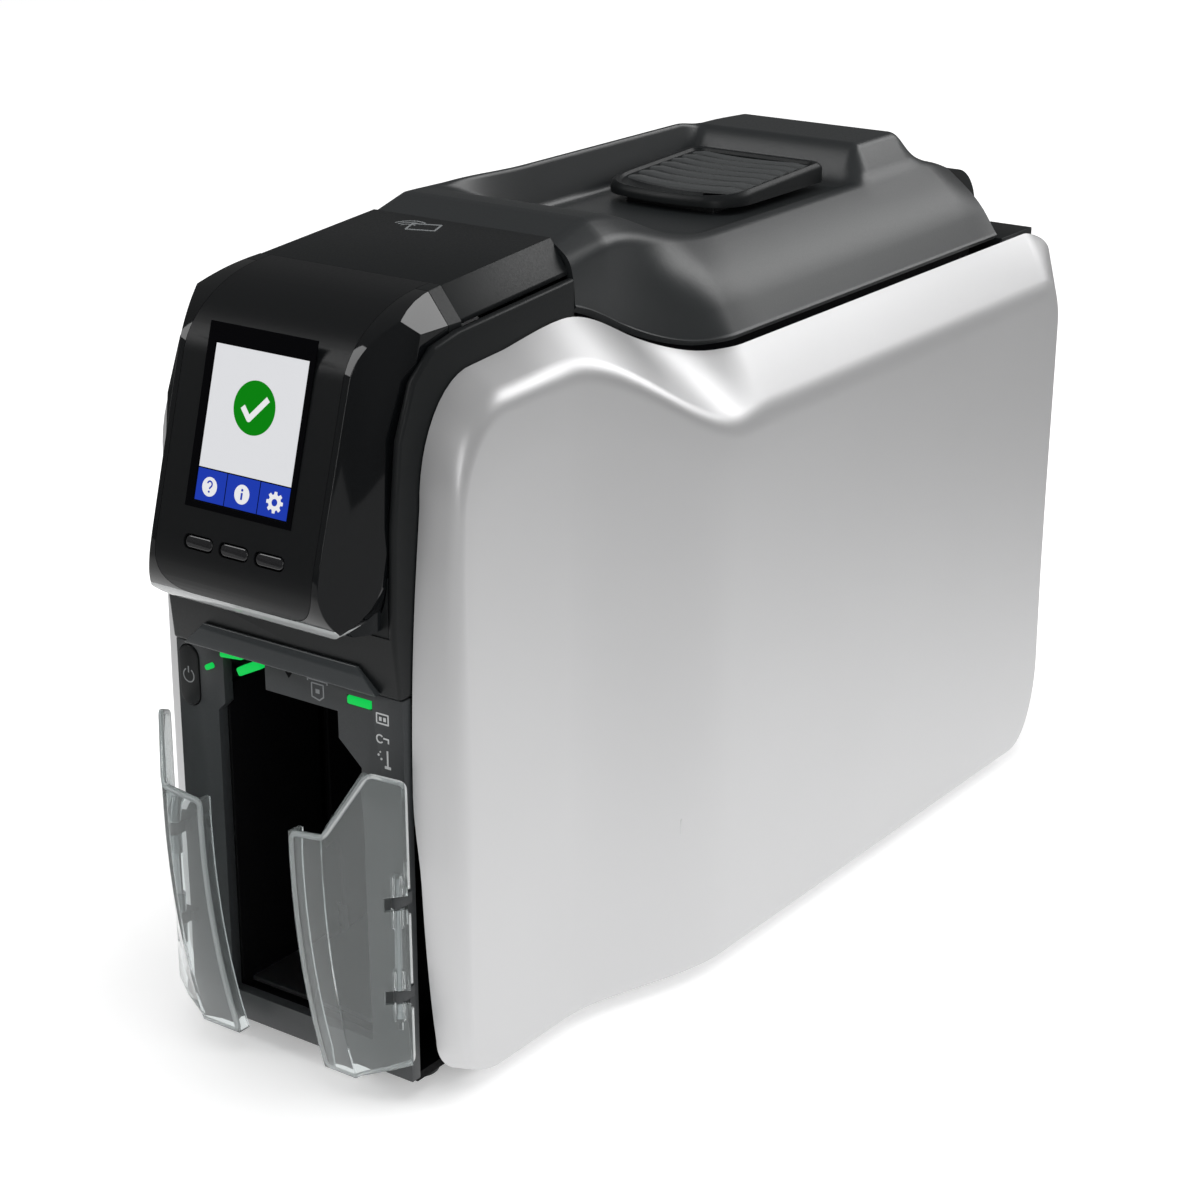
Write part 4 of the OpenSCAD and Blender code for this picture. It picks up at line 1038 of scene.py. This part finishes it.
def softLamp(name, place, target, size, power, mirrored=True):
    lamp = bpy.data.lights.new(name, "AREA")
    lamp.shape = "RECTANGLE"
    lamp.size, lamp.size_y = size
    lamp.energy = power
    holder = addObject(name, lamp)
    holder.location = place
    holder.visible_camera = False
    holder.visible_glossy = mirrored
    holder.rotation_euler = (Vector(target) - Vector(place)).to_track_quat("-Z", "Y").to_euler()


softLamp("overheadLamp", (0.3, -0.1, 1.5), (0.05, 0, 0.1), (1.2, 1.4), 10, False)
softLamp("rightLamp", (1.5, -0.6, 0.6), (0, 0, 0.12), (1.0, 0.9), 6, False)
softLamp("leftLamp", (-0.9, -1.0, 1.2), (0, -0.1, 0.15), (0.7, 0.9), 5)
softLamp("backLamp", (0.9, 1.7, 1.35), (0, 0.05, 0.2), (1.3, 1.0), 13)
softLamp("frontLamp", (0.75, -1.5, 0.75), (0, -0.15, 0.2), (0.2, 0.8), 2.5)


def larger(tree, a, b):
    pick = addNode(tree, "Math")
    pick.operation = "MAXIMUM"
    tree.links.new(a, pick.inputs[0])
    tree.links.new(b, pick.inputs[1])
    return pick.outputs[0]


def blended(tree, fac, first, second):
    choose = addNode(tree, "MixShader")
    tree.links.new(fac, choose.inputs["Fac"])
    tree.links.new(first, choose.inputs[1])
    tree.links.new(second, choose.inputs[2])
    return choose.outputs[0]


room = {"lit": 0.45, "shown": 1.0, "darkLow": 0.0, "darkHigh": 0.14, "mirrorLow": 0.08, "mirrorHigh": 0.12}
world = bpy.data.worlds.new("paleStudio")
bpy.context.scene.world = world
world.use_nodes = True
tree = world.node_tree
tree.nodes.clear()
path = addNode(tree, "LightPath")
lit, shown, mirrored = [addNode(tree, "Background") for i in range(3)]
feed(lit, {"Color": (1, 1, 1, 1), "Strength": room["lit"]})
feed(shown, {"Color": (1, 1, 1, 1), "Strength": room["shown"]})
feed(mirrored, {"Color": (1, 1, 1, 1)})
# Gloss sees a room that darkens a little above the table
direction = addNode(tree, "TexCoord")
height = addNode(tree, "SeparateXYZ")
tree.links.new(direction.outputs["Generated"], height.inputs[0])
dark = rampOf(tree, height.outputs["Z"], room["darkLow"], room["darkHigh"], room["mirrorLow"],
              room["mirrorHigh"])
tree.links.new(dark, mirrored.inputs["Strength"])
seen = larger(tree, path.outputs["Is Camera Ray"], path.outputs["Is Transmission Ray"])
withGloss = blended(tree, path.outputs["Is Glossy Ray"], lit.outputs[0], mirrored.outputs[0])
output = addNode(tree, "OutputWorld")
tree.links.new(blended(tree, seen, withGloss, shown.outputs[0]), output.inputs["Surface"])

# The table glows a little to the camera, and gloss sees a painted pool of light round the object
table = {"half": 9000.0, "z": -0.05, "colour": (0.86, 0.86, 0.86), "glow": 0.56, "poolStart": 0.15,
         "poolEnd": 0.85, "poolBright": 1.05, "poolDark": 0.3, "halfX": 0.07, "halfY": 0.18, "paintedShadow": 0.14,
         "paintedShadowDepth": 0.24}
edge = table["half"]
floor = newMesh("floor", [(x, y, table["z"]) for x, y in rectangle(-edge, -edge, edge, edge)], [(0, 1, 2, 3)])
floorPaper = finish("floorPaper", table["colour"], 0.85, grain=300, bump=0.0, tint=0.005)
tree = floorPaper.node_tree
paper = next(node for node in tree.nodes if node.type == "BSDF_PRINCIPLED")
output = next(node for node in tree.nodes if node.type == "OUTPUT_MATERIAL")
path = addNode(tree, "LightPath")
glowing, pool = [addNode(tree, "Emission") for i in range(2)]
seen = larger(tree, path.outputs["Is Camera Ray"], path.outputs["Is Transmission Ray"])
place = addNode(tree, "TexCoord")
lifted = addNode(tree, "AddShader")
tree.links.new(paper.outputs[0], lifted.inputs[0])
tree.links.new(glowing.outputs[0], lifted.inputs[1])
# Distance from the foot of the object, for a painted soft shadow round it, where the table glows less
sides = []
for operation, other in (("ABSOLUTE", None), ("SUBTRACT", (table["halfX"], table["halfY"], 1)),
                         ("MAXIMUM", (0, 0, 0)), ("LENGTH", None)):
    step = addNode(tree, "VectorMath")
    step.operation = operation
    if other:
        step.inputs[1].default_value = other
    tree.links.new(sides[-1].outputs[0] if sides else place.outputs["Object"], step.inputs[0])
    sides.append(step)
paintedShadow = rampOf(tree, sides[-1].outputs["Value"], 0.0, table["paintedShadow"], table["glow"] - table["paintedShadowDepth"],
              table["glow"])
dim = addNode(tree, "Math")
dim.operation = "MULTIPLY"
tree.links.new(seen, dim.inputs[0])
tree.links.new(paintedShadow, dim.inputs[1])
tree.links.new(dim.outputs[0], glowing.inputs["Strength"])
# Painted pool of light for gloss: bright near the object, darker further off
reach = addNode(tree, "VectorMath")
reach.operation = "LENGTH"
tree.links.new(place.outputs["Object"], reach.inputs[0])
fade = rampOf(tree, reach.outputs["Value"], table["poolStart"], table["poolEnd"], table["poolBright"],
              table["poolDark"])
tree.links.new(fade, pool.inputs["Strength"])
surface = blended(tree, path.outputs["Is Glossy Ray"], lifted.outputs[0], pool.outputs[0])
tree.links.new(surface, output.inputs["Surface"])
floor.data.materials.append(floorPaper)
print("studio ready")
